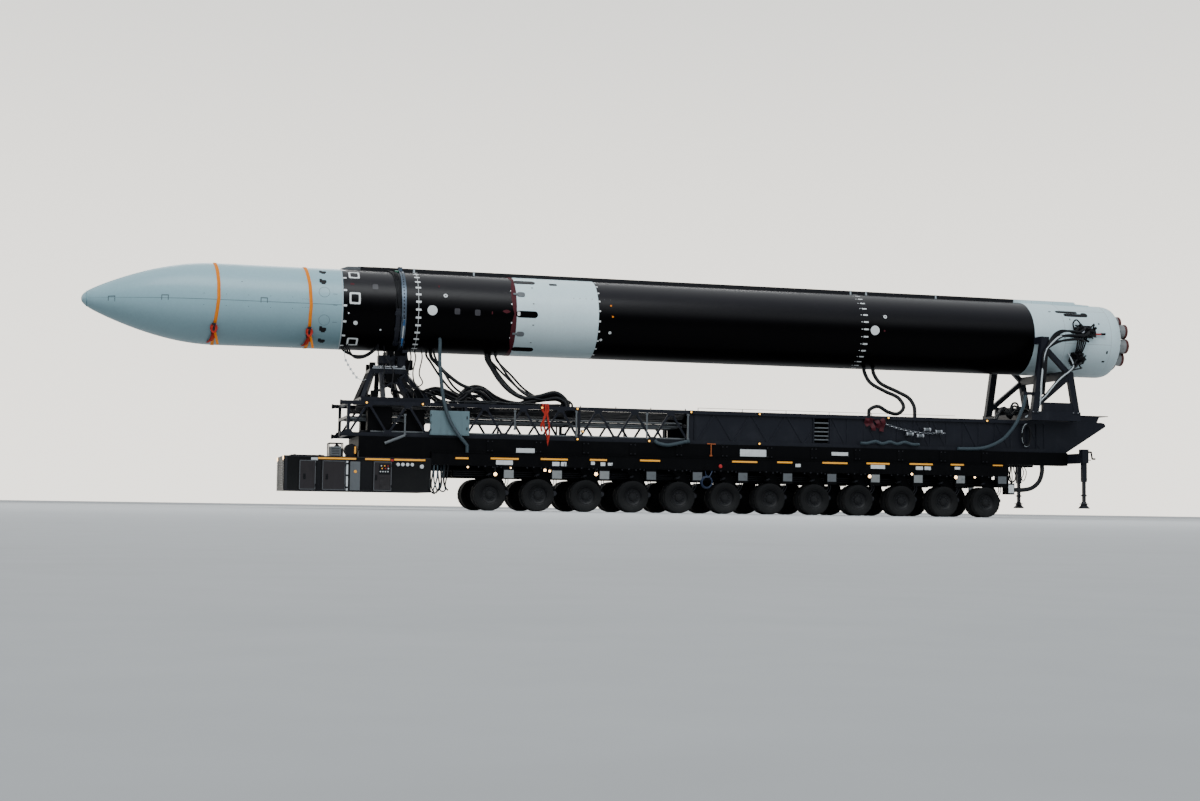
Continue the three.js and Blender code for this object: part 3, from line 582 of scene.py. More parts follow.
# hoses: radius, material and route, which starts and ends as in the solids
hoses = {
    "hose_tank_drain": (0.045, hoseGrey, [(5.36, 0.7048, 4.2352), (5.36, 0.7748, 4.1652),
        (5.376, 0.87, 3.99), (5.395, 0.985, 3.69), (5.371, 1.12, 3.183), (5.309, 1.19, 2.689),
        (5.154, 1.205, 2.201), (4.94, 1.2, 1.86), (4.7, 1.155, 1.58), (4.7, 1.155, 1.5),
        (4.7, 1.155, 1.4203)]),
    "hose_forward": (0.045, hoseBlack, [(5.515, 0.25, 3.9629), (5.515, 0.25, 3.89), (5.48, 0.28, 3.78),
        (5.368, 0.33, 3.66), (5.143, 0.4, 3.417), (4.75, 0.5, 3.122), (4.38, 0.6, 2.99)] +
        landing(4.1, 0.65)),
    "hose_middle_a": (0.05, hoseBlack, [(4.09, 0.2, 3.9527), (4.09, 0.2, 3.88), (4.065, 0.225, 3.78),
        (3.967, 0.3, 3.6), (3.801, 0.4, 3.312), (3.523, 0.48, 3.011), (3.155, 0.52, 2.839),
        (2.769, 0.52, 2.9), (2.33, 0.52, 3.0)] + landing(2.05, 0.52)),
    "hose_middle_b": (0.05, hoseBlack, [(3.96, -0.06, 3.9406), (3.96, -0.06, 3.87), (3.935, -0.035, 3.77),
        (3.83, 0.06, 3.56), (3.6, 0.16, 3.23), (3.3, 0.24, 2.95), (2.95, 0.28, 2.83), (2.6, 0.29, 2.83),
        (2.25, 0.3, 2.85)] + landing(1.96, 0.3)),
    "hose_tank_a": (0.05, hoseBlack, [(-6.19, 0.25, 3.9656), (-6.19, 0.25, 3.89), (-6.215, 0.28, 3.78),
        (-6.33, 0.34, 3.56), (-6.728, 0.42, 3.33), (-7.08, 0.5, 3.158), (-7.189, 0.6, 2.913),
        (-6.969, 0.7, 2.72), (-6.657, 0.75, 2.76), (-6.369, 0.75, 2.9)] + landing(-6.12, 0.75)),
    "hose_tank_b": (0.05, hoseBlack, [(-6.451, 0.25, 3.9656), (-6.451, 0.25, 3.89), (-6.475, 0.275, 3.78),
        (-6.62, 0.33, 3.56), (-7.1, 0.4, 3.33), (-7.381, 0.5, 3.166), (-7.49, 0.59, 2.949)] +
        landing(-7.5, 0.62)),
    "hose_cradle": (0.045, hoseGrey, [(-10.42, 1.25, 3.3), (-10.42, 1.25, 3.2), (-10.4, 1.25, 3.06),
        (-10.29, 1.25, 2.8), (-10.18, 1.24, 2.56), (-9.98, 1.215, 2.28), (-9.78, 1.18, 2.08),
        (-9.404, 1.12, 1.89), (-9.1, 1.098, 1.83), (-8.82, 1.096, 1.818), (-8.66, 1.096, 1.8158),
        (-8.52, 1.096, 1.8155)]),
    "hose_tail": (0.058, hoseBlack, [(-11.063, 1.0, 1.42), (-11.063, 1.0, 1.25), (-10.98, 1.0, 1.0),
        (-10.76, 1.0, 0.81), (-10.46, 1.0, 0.75), (-10.3, 1.0, 0.75), (-10.1603, 1.0, 0.75)])}


def alongTube(route, sides):
    # distance along the hose for each point of its tube, which the ribs follow
    s = distances(route)
    return {"along": np.concatenate([np.repeat(s, sides), [0, s[-1]]])}


def addHose(name, radius, material, points, replaces=(), sides=14, count=38, slot=None):
    route = smoothRoute(points, count)
    piece = addPiece(name, tube(route, radius, sides), material, replaces=replaces, slot=slot, smooth=60,
        attributes=alongTube(route, sides))


for node, (radius, material, points) in hoses.items():
    addHose(node.replace("hose_", "hose").replace("_", ""), radius, material, points, (node,),
        slot="hose_grey" if material is hoseGrey else "hose_black")
print("hoses laid")


# rocket skin
def skinRadius(x):
    # round nose ahead of the straight body, in powers of the root of the way back from the tip
    u = np.sqrt(np.clip((rocket["noseX"] - np.asarray(x, float)) / rocket["noseLength"], 0, 1))
    return rocket["radius"] * u * (1.022 - 1.2 * u + 3.334 * u**2 - 2.156 * u**3)


def hoop(profile, sides, origin=onAxis, axis=0):
    # closed profile turned about an axis, open in the middle
    return turned(profile, sides, origin, axis, loop=True)


def ringLine(x, width, lift=0.0012):
    r = float(skinRadius(x))
    return hoop([(x - width / 2, r - 0.004), (x + width / 2, r - 0.004), (x + width / 2, r + lift),
        (x - width / 2, r + lift)], rocket["sides"])


def stadium(x, angle, length, arc, lift=0.0015, count=40):
    # straight-sided patch with round ends, laid along the skin
    t = fullTurn(count)
    return skinPatch(x, angle, (length - arc) / 2 * np.sign(np.cos(t)) + arc / 2 * np.cos(t),
        arc / 2 * np.sin(t), lift, 0.002)


fairing = {"slit": 0.22, "wall": 0.04, "capX": 13.80, "patches": ((8.26, 33), (8.27, 55), (8.25, 126.5),
    (8.25, 148)), "circles": ((8.24, 72.5), (8.23, 112.5))}


def fairingHalf(angle0, angle1):
    # open at the cap: the two halves meet a round nose cap there
    t = np.linspace(np.sqrt((rocket["noseX"] - fairing["capX"]) / rocket["noseLength"]), 1, 44) ** 2
    x = np.concatenate([rocket["noseX"] - t * rocket["noseLength"],
        np.linspace(10.5, rocket["fairingAftX"] + rocket["gap"], 8)])
    outer = skinRadius(x)
    depth = np.minimum(fairing["wall"], outer * 0.6)
    angle = np.linspace(angle0 + fairing["slit"], angle1 - fairing["slit"], 73)
    return shellOf(onBody(x[:, None], angle, outer[:, None]), onBody(x[:, None], angle,
        (outer - depth)[:, None]))


# the fairing halves and its nose cap wear the darker copy of the white, as painted shade
for name, node, start in (("fairingTop", "fairing_upper", -90), ("fairingBottom", "fairing_lower", 90)):
    addPiece(name, fairingHalf(start, start + 180), fairingShadedWhite, replaces=(node,), slot="rocket_white",
        smooth=50)
capX = rocket["noseX"] - np.linspace(0, 1, 15)[1:] ** 2 * (rocket["noseX"] - fairing["capX"] - 0.002)
capLine = [(rocket["noseX"], 0)] + [(x, float(skinRadius(x))) for x in capX]
capLine += [(fairing["capX"], 0.2), (13.78, 0.16), (13.78, 0)]
addPiece("noseCap", turned(capLine, 96, onAxis), fairingShadedWhite, slot="rocket_white", smooth=50)


def skinStrip(x, angle0, angle1, lift, depth=0.004):
    # thin strip that follows the nose's curve through the stations x, from one angle to the other
    x, angle = np.meshgrid(x, np.linspace(angle0, angle1, 3), indexing="ij")
    r = skinRadius(x)
    return shellOf(onBody(x, angle, r + lift), onBody(x, angle, r - depth))


addPiece("fairingSplit", both([skinStrip(np.linspace(13.7, 7.8, 40), 89.65, 90.35, 0.0006, 0.02)]),
    seamGrey)
faint = []
for x, angle in ((13.205, 86.5), (11.977, 85.5), (9.672, 85.0)):
    wide = np.degrees(0.013 / float(skinRadius(x)))
    faint.append(skinStrip([x - 0.085, x, x + 0.085], angle - wide, angle + wide, 0.0008))
    faint += [skinStrip([end - 0.011, end + 0.011], angle, angle + 9 * wide, 0.0008)
        for end in (x - 0.075, x + 0.075)]
addPiece("fairingHandholds", both(faint), seamGrey)

# dark service patches, faint circles and fastener dots on the fairing, both sides alike
patches, dots = [], []
for x, angle in fairing["patches"]:
    patches += [bodyMark(x, angle, 0.17, 0.10, 5), bodyMark(x - 0.01, angle + 3.4, 0.10, 0.06, 4),
        bodyMark(x + 0.05, angle - 3.2, 0.07, 0.06, 4)]
for k in range(5):
    dots += [bodyMark(8.62 + 0.035 * k, a, 0.012, 0.012, lift=0.001, count=10) for a in (84, 96)]
    dots += [bodyMark(9.0 + 0.52 * k, a, 0.016, 0.016, lift=0.001, count=10) for a in (82, 98)]
dots.append(bodyMark(10.2, 62, 0.03, 0.02, lift=0.001, count=12))
dots += [bodyMark(7.98, a, 0.11, 0.008, 4) for a in (75, 91, 115)]
addPiece("fairingPatches", both(patches), cableBlack)
addPiece("fairingCircles", both([bodyMark(x, a, 0.27, 0.27, 2, 0.93, 0.0008)
    for x, a in fairing["circles"]]), seamGrey)
addPiece("fairingDots", both(dots), darkSteel)
aftLine = [(7.7801, 0.996), (7.79, 1.0008), (7.81, 1.0008), (7.81, 0.996)]
addPiece("fairingAftLip", hoop(aftLine, rocket["sides"]), markGrey)
print("fairing dressed")


def stageDrum(aftX, frontX, chamfer=0.006):
    # closed drum between two joints of the body, held back from each by the gap
    r, aftX, frontX = rocket["radius"], aftX + rocket["gap"], frontX - rocket["gap"]
    inside = np.linspace(frontX - chamfer, aftX + chamfer, 12)
    return turned([(frontX, 0), (frontX, 0.6), (frontX, r - chamfer)] + [(x, r)
        for x in inside] + [(aftX, r - chamfer), (aftX, 0.6), (aftX, 0)], rocket["sides"], onAxis)


for name, aft, front, material, node in (("secondStageSkin", "secondAftX", "fairingAftX", stageBlack,
        "second_stage"), ("interstageSkin", "interstageAftX", "secondAftX", stageWhite, "interstage"),
        ("tankSkin", "tankAftX", "interstageAftX", stageBlack, "first_stage_tank")):
    addPiece(name, stageDrum(rocket[aft], rocket[front]), material, replaces=(node,), slot="rocket_white"
        if material is stageWhite else "rocket_black")

# marks of the body: angle in degrees from the top, repeated on the far side
marks = {"tabX": 7.735, "tabPitch": 22.7, "squareX": 7.5, "squares": (36.8, 79.5, 148), "tickPitch": 11.25,
    "tickStart": 1.9, "tickRows": (5.94, -5.93), "tickFree": 12,
    "discs": ((5.6, 92, 0.245), (-6.18, 92.9, 0.25), (7.47, 114.6, 0.105), (7.65, 101, 0.04),
        (6.85, 123.6, 0.045)),
    "rings": ((5.27, 69.5, 0.1, 0.42), (-6.49, 70.8, 0.1, 0.42), (1.05, 113.7, 0.07, 0.4),
        (1.26, 125.4, 0.07, 0.4)),
    "red": ((7.56, 57, 0.10, 0.06, 3), (3.74, 89, 0.2, 0.09, 1.4), (4.1, 92, 0.03, 0.08),
        (-6.45, 93, 0.05, 0.05), (5.42, 54, 0.04, 0.08)),
    "grey": ((4.98, 92), (4.47, 92.5), (7.0, 60)), "slots": (35, 92, 150), "brackets": (62, 121)}
white = [bodyMark(marks["squareX"], a, 0.27, 0.30, 9, 0.68) for a in marks["squares"]]
white += [bodyMark(x, a, size, size) for x, a, size in marks["discs"]]
white += [bodyMark(x, a, size, size, hole=hole) for x, a, size, hole in marks["rings"]]
white += [bodyMark(3.6, a, 0.045, 0.045, lift=0.003, count=16) for a in (56, 78, 105, 128)]
white = both(white + [bodyMark(3.43, 91.5, 0.07, 0.1, 4, lift=0.01)])
white += [bodyMark(marks["tabX"], 0.6 + marks["tabPitch"] * 0.991 * k, 0.085, 0.05, 6, lift=0.004)
    for k in range(16)]
white += [bodyMark(1.335, 7.5 + 15 * k, 0.05, 0.045, 6, lift=0.003, count=16) for k in range(24)]
angles = [a for a in marks["tickStart"] + marks["tickPitch"] * np.arange(32)
    if marks["tickFree"] < a < 360 - marks["tickFree"]]
for x, arc in zip(marks["tickRows"], (0.05, 0.04)):
    white += [bodyMark(x, a, 0.135, arc, 8, lift=0.002, count=20) for a in angles]
white.append(ringLine(marks["tickRows"][0], 0.009))
white += [bodyMark(marks["tickRows"][1] + 0.12, a, 0.03, 0.02, 6, lift=0.002, count=12) for a in angles]
grey = [bodyMark(x, a, 0.14, 0.15, 5, lift=0.0008) for x, a in marks["grey"]]
grey += [bodyMark(2.0 - 0.16 * k, 64, 0.02, 0.02, count=10) for k in range(7)]
slots = [stadium(3.22, s * a, 0.56, 0.17, 0.004) for s in (1, -1) for a in marks["slots"]]
brackets = [bodyMark(3.36, a, 0.20, 0.13, 3.2, lift=0.022) for a in marks["brackets"]]
brackets += [bodyMark(3.5, a, 0.12, 0.05, 6, lift=0.03) for a in marks["brackets"]]
brackets += [bodyMark(3.05, a, 0.05, 0.03, lift=0.008, count=14) for a in (48, 76, 107, 135)]
orange = [bodyMark(x, a, 0.05, 0.05, lift=0.003, count=16) for x, a in ((1.04, 73.5), (1.0, 90.0))]
darkPatch = finish("darkPatch", (0.03, 0.028, 0.034), 0.45, dirt=0.4, dirtColor=(0.06, 0.05, 0.055),
    scale=5.0)
addPiece("bodyMarksWhite", white, markWhite)
addPiece("bodyPatchesDark", both(grey), darkPatch)
addPiece("bodyMarksRed", both([bodyMark(*row) for row in marks["red"]]), crimson)
addPiece("interstageSlots", slots + both([bodyMark(2.48, 37.5, 0.2, 0.1, 8)]), stageBlack)
addPiece("separationBrackets", both(brackets), panelGrey, bevel=0.004)
addPiece("orangeDots", both(orange), strapOrange)


# crimson seal round the aft edge of the second stage, scalloped between the slots
sealAngle = np.linspace(9, 351, 229)
sealFront = 3.535 + 0.075 * np.abs(np.sin(np.radians((sealAngle - 92) * 180 / 57.5))) ** 0.7
sealX = np.stack([np.full_like(sealAngle, 3.4806), sealFront])
addPiece("aftSeal", shellOf(onBody(sealX, sealAngle, 1.0035), onBody(sealX, sealAngle, 0.999)), crimson)
print("stages marked")

# cable duct along the top, with clips and a tapered housing at each end
duct = {"half": 0.12, "clips": (5.95, 4.43, -5.85, -6.3, -8.35), "joints": np.arange(7.0, -10.6, -1.55),
    "foot": z + 0.985, "lid": z + 1.085}
clips, bridges = [], []
for x in duct["clips"]:
    clips += [block(x, duct["half"] + 0.00425, duct["foot"], z + 1.09, 0.022, 0.00375),
        bodyMark(x, 8.6, 0.05, 0.04, 6, lift=0.01)]
    bridges.append(block(x, 0, duct["lid"] + 0.0005, z + 1.093, 0.022, 0.128))
addPiece("ductClips", both(clips) + bridges, markGrey, bevel=0.002)
lids = [box(a + 0.006, b - 0.006, -0.1235, 0.1235, duct["lid"] + 0.0002, z + 1.089)
    for a, b in zip(duct["joints"][1:], duct["joints"][:-1])]
addPiece("ductLids", lids, ductBlack, bevel=0.0015)
frontHood = [(7.2903, 0.985), (7.2903, 1.078), (7.61, 1.072), (7.76, 1.02), (7.79, 0.998), (7.79, 0.985)]
aftHood = [(-12.64, 0.93), (-10.7003, 0.97), (-10.7003, 1.082), (-12.56, 1.082), (-12.64, 1.01)]
apron = [(-12.98, 0.93), (-11.8, 0.93), (-11.8, 0.985), (-12.3, 1.012), (-12.9, 0.985)]
frontHood, aftHood, apron = (plate(np.array(line) + (0, z), width)
    for line, width in ((frontHood, 0.25), (aftHood, 0.24), (apron, 0.62)))
addPiece("ductFrontHood", [frontHood, box(7.30, 7.36, -0.135, 0.135, duct["foot"], z + 1.083)], panelGrey,
    bevel=0.012)


# engine bay: skirt with a rounded shoulder and a recess, seams, vents, rim seal and brackets
bay = {"seams": (-11.79, -13.2), "shoulder": (0.26, 0.07)}
turnAngle = np.radians(np.linspace(0, 90, 12))
shoulder = [(rocket["skirtAftX"] + bay["shoulder"][0] * (1 - np.sin(a)),
    1.0 - bay["shoulder"][1] * (1 - np.cos(a))) for a in turnAngle]
skirtLine = [(-10.8703, 0), (-10.8703, 0.6), (-10.8703, 0.994), (-10.877, 1.0)]
skirtLine += [(x, 1.0) for x in np.linspace(-11.2, -13.15, 8)] + shoulder
skirtLine += [(-13.52, 0.915), (-13.5, 0.905), (-13.0, 0.765), (-13.0, 0)]
skirt = turned(skirtLine, rocket["sides"], onAxis)
addPiece("engineBaySkin", [skirt, aftHood, apron], stageWhite, replaces=("engine_bay",),
    slot="rocket_white", smooth=30)
addPiece("engineBaySeams", [ringLine(x, 0.009, 0.0008) for x in bay["seams"]] +
    both([bodyBand(-13.2, -11.79, a - 0.3, a + 0.3, 0.998, 1.0008) for a in (40, 100, 160)]) +
    [block(x, 0, z + 0.99, z + 1.0825, 0.005, 0.1205) for x in (-11.25, -11.9, -12.38)], markGrey)
vents = [bodyMark(*row) for row in ((-11.98, 44.5, 0.66, 0.10, 6), (-12.22, 51.0, 0.72, 0.12, 5),
    (-12.5, 49, 0.20, 0.16, 2.5), (-12.86, 66, 0.05, 0.05), (-12.0, 60, 0.03, 0.06),
    (-13.06, 128, 0.09, 0.05, 4), (-13.1, 112, 0.05, 0.09, 3))]
addPiece("bayVents", both(vents) + [bodyMark(-11.47, 45, 0.08, 0.03, 3, skew=0.8)], cableBlack)
sealLine = [(-13.517 + 0.012 * np.cos(a), 0.915 + 0.014 * np.sin(a)) for a in fullTurn(12)]
addPiece("bayRimSeal", hoop(sealLine, 120), cableBlack)
rimBits = [bar(onBody(-13.535, a, 0.93), onBody(-13.49, a, 0.93), 0.05, 0.024, onBody(0, a, 1.0) - onAxis)
    for a in np.arange(4, 360, 24)]
addPiece("bayRimBrackets", rimBits, darkSteel, bevel=0.003)

# engines: nine bells on the thrust plate, with liners and actuators
bells = {"ring": 0.54, "phase": 30, "count": 8,
    "outer": [(-13.03, 0), (-13.03, 0.07), (-13.16, 0.078), (-13.27, 0.088), (-13.31, 0.1), (-13.33, 0.1),
        (-13.42, 0.126), (-13.54, 0.157), (-13.72, 0.184), (-13.885, 0.204), (-13.92, 0.204),
        (-13.92, 0.194), (-13.885, 0.193), (-13.72, 0.174), (-13.54, 0.146), (-13.42, 0.112),
        (-13.38, 0.06), (-13.38, 0)],
    "liner": [(-13.90, 0.1925), (-13.72, 0.1725), (-13.54, 0.1445), (-13.42, 0.1105), (-13.39, 0.06),
        (-13.40, 0.055), (-13.44, 0.104), (-13.54, 0.1425), (-13.72, 0.1705), (-13.90, 0.191)]}
centres = [(0.0, 0.0)] + [(bells["ring"] * np.cos(a), bells["ring"] * np.sin(a))
    for a in np.radians(bells["phase"] + 45 * np.arange(bells["count"]))]
outerBells, liners, gear, plumbing, rims = [], [], [], [], []
for y, dz in centres:
    origin = np.array([0, y, z + dz])
    outerBells.append(turned(bells["outer"], 40, origin))
    liners.append(hoop(bells["liner"], 40, origin))
    rims.append(hoop([(-13.919, 0.2035), (-13.919, 0.2065), (-13.845, 0.201), (-13.845, 0.198)], 40,
        origin))
    gear += [hoop([(x - 0.006, 0.08), (x - 0.006, top), (x + 0.006, top), (x + 0.006, 0.08)], 32, origin)
        for x, top in ((-13.2, 0.097), (-13.41, 0.129), (-13.55, 0.163))]
    for a in np.radians((35, 155, 275)):
        foot, head = (origin + (x, r * np.cos(a), r * np.sin(a))
            for x, r in ((-13.03, 0.16), (-13.30, 0.085)))
        plumbing += [rod(foot, head, 0.012, 10), rod(foot, foot + 0.55 * (head - foot), 0.02, 10)]
addPiece("engineBells", outerBells, nozzlePale, replaces=("engine_cluster",), slot="nozzle_metal")
addPiece("bellRims", rims, nozzleRed)
addPiece("bellLiners", liners, nozzleRed)
addPiece("bellBands", gear, darkSteel)
addPiece("bellActuators", plumbing, brightSteel)
thrust = [turned([(-13.001, 0), (-13.001, 0.755), (-13.045, 0.755), (-13.045, 0)], 96, onAxis)]
thrust += [bar(onBody(-13.06, a, 0.7), onBody(-13.06, a + 180, 0.7), 0.04, 0.03, (1, 0, 0))
    for a in (82.5, 37.5, -7.5, -52.5)]
addPiece("thrustPlate", thrust, darkSteel, bevel=0.004)
print("engine bay built")

# clamp band with drilled holes, its bridge over the duct and a turnbuckle on each side
clamp = {"x": 6.3, "half": 0.05, "rod": (106, 144), "rodRadius": 1.115,
    "starts": (6.66, 6.62, 6.57, 6.52, 6.47), "ends": (6.49, 6.46, 6.43, 6.40, 6.38)}
cx, half = clamp["x"], clamp["half"]
bandParts = [bodyBand(cx - half, cx + half, 9, 351, 1.001, 1.027, 150)]
bandParts += [bodyBand(edge - 0.006, edge + 0.006, 9, 351, 1.001, 1.04, 150)
    for edge in (cx + half, cx - half)]
bandParts += both([box(cx - half, cx + half, 0.131, 0.16, z + 0.985, z + 1.114)])
bandParts.append(block(cx, 0, z + 1.096, z + 1.114, half, 0.16))
addPiece("clampBand", bandParts, clampSteel, replaces=("clamp_ring",), slot="clamp_steel")
addPiece("clampKnob", [rod((cx + 0.02, 0.02, z + 1.112), (cx + 0.02, 0.02, z + 1.135), 0.03, 16)] +
    both([box(cx + 0.1, cx + 0.22, 0.14, 0.24, z + 0.965, z + 1.03)]), cableBlack, bevel=0.004)
addPiece("clampHoles", [bodyMark(cx, a, 0.03, 0.055, lift=0.0285, count=16)
    for a in np.arange(13, 348, 5.2)], cableBlack)
p, q = (onBody(cx, a, clamp["rodRadius"]) for a in clamp["rod"])
turnLugs = []
for a in clamp["rod"]:
    turnLugs += [bodyBand(edge, edge + 0.015, a - 3, a + 3, 1.02, 1.15) for edge in (cx - 0.035, cx + 0.02)]
    turnLugs.append(rod(onBody(cx - 0.045, a, clamp["rodRadius"]), onBody(cx + 0.045, a,
        clamp["rodRadius"]), 0.012))
addPiece("turnbuckleRods", both([rod(p + 0.2 * (q - p), p + 0.72 * (q - p), 0.017)]), hosePale)
addPiece("turnbuckleEnds", both([rod(p, p + 0.22 * (q - p), 0.026), rod(p + 0.7 * (q - p), q, 0.026)]),
    bluePlastic)
addPiece("turnbuckleLugs", both(turnLugs), clampSteel)
addPiece("clampGreenSeal", both([bodyMark(cx + 0.11, 16, 0.10, 0.12, 4, lift=0.04)]), greenPlastic,
    bevel=0.006)
harness = []
for k, (x0, x1) in enumerate(zip(clamp["starts"], clamp["ends"])):
    a = np.linspace(9, 96 + 6 * k, 30)
    wander = 0.012 * np.sin(a / (6 + k))
    harness.append(tube(onBody(x0 + (x1 - x0) * np.minimum(1, (a - 9) / 38) ** 0.6 + wander, a, 1.015),
        0.013, 8))
addPiece("clampHarness", both(harness), cableBlack)
addPiece("harnessHousing", both([bodyBand(6.39, 6.50, 92, 150, 0.999, 1.06)] +
    [bodyBand(6.38, 6.52, a, a + 5, 1.0, 1.075) for a in (96, 118, 141)]), frameGrey, bevel=0.006)
print("clamp built")

# ratchet straps round the fairing
straps = {
    "fairing_strap_front": {"name": "fairingStrapFront", "angles": (0, 18, 44, 66, 88, 102, 117, 137, 180),
        "x": (10.84, 10.833, 10.776, 10.743, 10.735, 10.759, 10.791, 10.835, 10.84)},
    "fairing_strap_rear": {"name": "fairingStrapRear", "angles": (0, 22, 45, 63, 93, 106, 130, 180),
        "x": (8.69, 8.667, 8.625, 8.586, 8.554, 8.565, 8.57, 8.60)}}


def ribbon(route, width, thickness, facing):
    # flat webbing along a route, its flat side towards facing
    route, facing = np.array(route, float), np.array(facing, float)
    tangent = unit(np.gradient(route, axis=0))
    side = unit(np.cross(np.broadcast_to(facing, tangent.shape), tangent))
    lift = np.cross(tangent, side)[:, None] * thickness / 2
    across = np.linspace(-0.5, 0.5, 5) * width
    grid = route[:, None] + side[:, None] * across[:, None]
    along = np.tile(np.repeat(distances(route), 5), 2)
    return shellOf(grid + lift, grid - lift), along, np.tile(across, 2 * len(route))


def addRibbons(name, parts, material, **more):
    shapes, along, across = zip(*parts)
    values = {"along": np.concatenate(along), "across": np.concatenate(across)}
    addPiece(name, list(shapes), material, attributes=values, **more)


steelBits, redTails, strapTails = [], [], []
for node, line in straps.items():
    angle = np.linspace(140, 140 + 359.6, 181)
    folded = np.abs((angle + 180) % 360 - 180)
    ring = onBody(np.interp(folded, line["angles"], line["x"]), angle, 1.004)
    outward = onBody(0, angle, 1.0) - onAxis
    addRibbons(line["name"], [ribbon(ring, 0.078, 0.006, outward)], strapOrange, replaces=(node,),
        slot="strap_orange")
    x = float(np.interp(134, line["angles"], line["x"]))
    steelBits += [bodyBand(x + dx - 0.005, x + dx + 0.005, 128, 144, 1.006, 1.065)
        for dx in (-0.048, 0.048)]
    steelBits += [rod(onBody(x - 0.07, 136, 1.04), onBody(x + 0.07, 136, 1.04), 0.02),
        bodyBand(x - 0.04, x + 0.04, 122.5, 134.5, 1.055, 1.066), rod(onBody(x - 0.05, 122.5, 1.06),
        onBody(x + 0.05, 122.5, 1.06), 0.014), bodyMark(x, 139, 0.12, 0.17, 4, lift=0.012)]
    for drift, end, reach in ((0.13, 164, 0.04), (0.04, 158, 0.06), (-0.09, 150, 0.05)):
        t = np.linspace(0, 1, 20)
        angle = 137 + (end - 137) * t
        route = onBody(x + 0.01 + drift * t ** 1.3, angle, 1.016 + reach * np.sin(np.pi * t))
        redTails.append(ribbon(route, 0.06, 0.004, onBody(0, angle, 1.0) - onAxis))
    t = np.linspace(0, 1, 16)
    hang = onBody(x - 0.03, 134, 1.045) + np.stack([-0.07 * t, 0.02 * np.sin(3 * t), -0.33 * t], -1)
    strapTails.append(ribbon(hang, 0.055, 0.004, (0, 1, 0)))
    turn = np.linspace(0, 2 * np.pi, 24)
    for lift, wide in ((0.02, 0.07), (0.05, 0.05)):
        bow = np.stack([wide * np.cos(turn), 0.012 * np.sin(2 * turn) + 0.01, 0.09 * np.sin(turn)], -1)
        redTails.append(ribbon(onBody(x, 129, 1.045 + lift) + bow, 0.04, 0.004, (0, 1, 0.2)))
addPiece("strapRatchets", steelBits, darkSteel, bevel=0.002)
addRibbons("strapTailsRed", redTails, strapRed)
addRibbons("strapTailsOrange", strapTails, strapOrange)
print("straps buckled")

# CAD steelwork keeps its shape and takes its paint
steelwork = {"front_cradle lattice_girder clad_girder tail_wedge rear_cradle rear_beam": frameGrey,
    "jack_leg_left jack_leg_right": darkSteel, "load_frame bed_front bed_rear": bedBlack,
    "power_pack": packBlack, "engine_block": panelGrey, "cable_duct": ductBlack,
    "service_door_front service_door_middle service_door_control": doorGrey}
for nodes, material in steelwork.items():
    for node in nodes.split():
        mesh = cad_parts[node].data
        mesh.materials.clear()
        mesh.materials.append(material)


def bolts(points, direction, radius=0.014, height=0.012):
    # hexagon heads standing on a face
    direction = np.array(direction, float)
    return [rod(np.array(p), np.array(p) + direction * height, radius, 6) for p in points]


def dome(x, y, level, radius, height):
    # low round lens facing the near side
    return turned([(0, 0), (0, radius), (0.7 * height, 0.88 * radius), (height, 0)], 20, (x, y, level), 1)


# front cradle: gussets, machined slides, neck fittings, cable loops
machined = [box(6.12, 6.98, 0.30, 0.47, 3.462, 3.492), rod((6.14, 0.385, 3.53), (6.96, 0.385, 3.53), 0.014)]
machined += [block(x, 0.385, 3.492, 3.54, 0.03, 0.105) for x in (6.2, 6.45, 6.72, 6.93)]
addPiece("cradleSlides", both(machined), brightSteel, bevel=0.004)
gussets = [plate([(6.02, 3.34), (7.08, 3.34), (6.98, 3.47), (6.20, 3.47)], 0.014, 0.449),
    bar((6.06, 0.62, 2.9), (6.78, 0.45, 3.34), 0.05), bar((6.84, 0.62, 2.9), (6.14, 0.45, 3.34), 0.05),
    plate([(6.06, 3.55), (6.34, 3.55), (6.27, 3.95), (6.13, 3.95)], 0.16, 0.36),
    box(6.13, 6.27, 0.30, 0.62, 3.86, 3.93), box(6.36, 6.62, 0.16, 0.3, 3.48, 3.78)]
saddle = [box(6.3, 6.42, -0.3, 0.3, 3.6, 3.7), box(6.55, 6.84, 0.22, 0.45, 3.60, 3.80),
    box(6.5, 6.75, -0.4, -0.2, 3.6, 3.82)]
cradleBolts = bolts([(x + dx, 0.79, 2.735) for x in (5.72, 7.15) for dx in (-0.12, 0.12)], (0, 0, 1), 0.018)
cradleBolts += bolts([(x, 0.456, 3.41) for x in (6.24, 6.42, 6.6, 6.78, 6.93)], (0, 1, 0))
addPiece("cradleGussets", both(gussets) + saddle, frameGrey, bevel=0.006)
addPiece("cradleBolts", both(cradleBolts), darkSteel)


def underBody(y, drop=0.0):
    # level of the rocket's underside at this distance from the middle plane, less the drop
    return z - float(np.sqrt(1 - y * y)) - 0.003 - drop


for k in range(4):
    x0, xEnd, drop = 7.72 - 0.04 * k, 6.92 - 0.02 * k, 0.20 + 0.045 * k
    y, yEnd = 0.30 + 0.05 * k, 0.34 + 0.05 * k
    addHose(f"frontLoop{k + 1}", 0.02, cableBlack, [(x0, y, underBody(y)), (x0, y, underBody(y, 0.05)),
        (x0 - 0.09, y, underBody(y, 0.68 * drop)), (7.42, y + 0.02, underBody(y, drop)),
        (7.18, y + 0.03, underBody(y, 0.94 * drop)), (xEnd + 0.06, yEnd, underBody(yEnd, 0.42 * drop)),
        (xEnd, yEnd, underBody(yEnd, 0.04)), (xEnd, yEnd, underBody(yEnd))], sides=8)

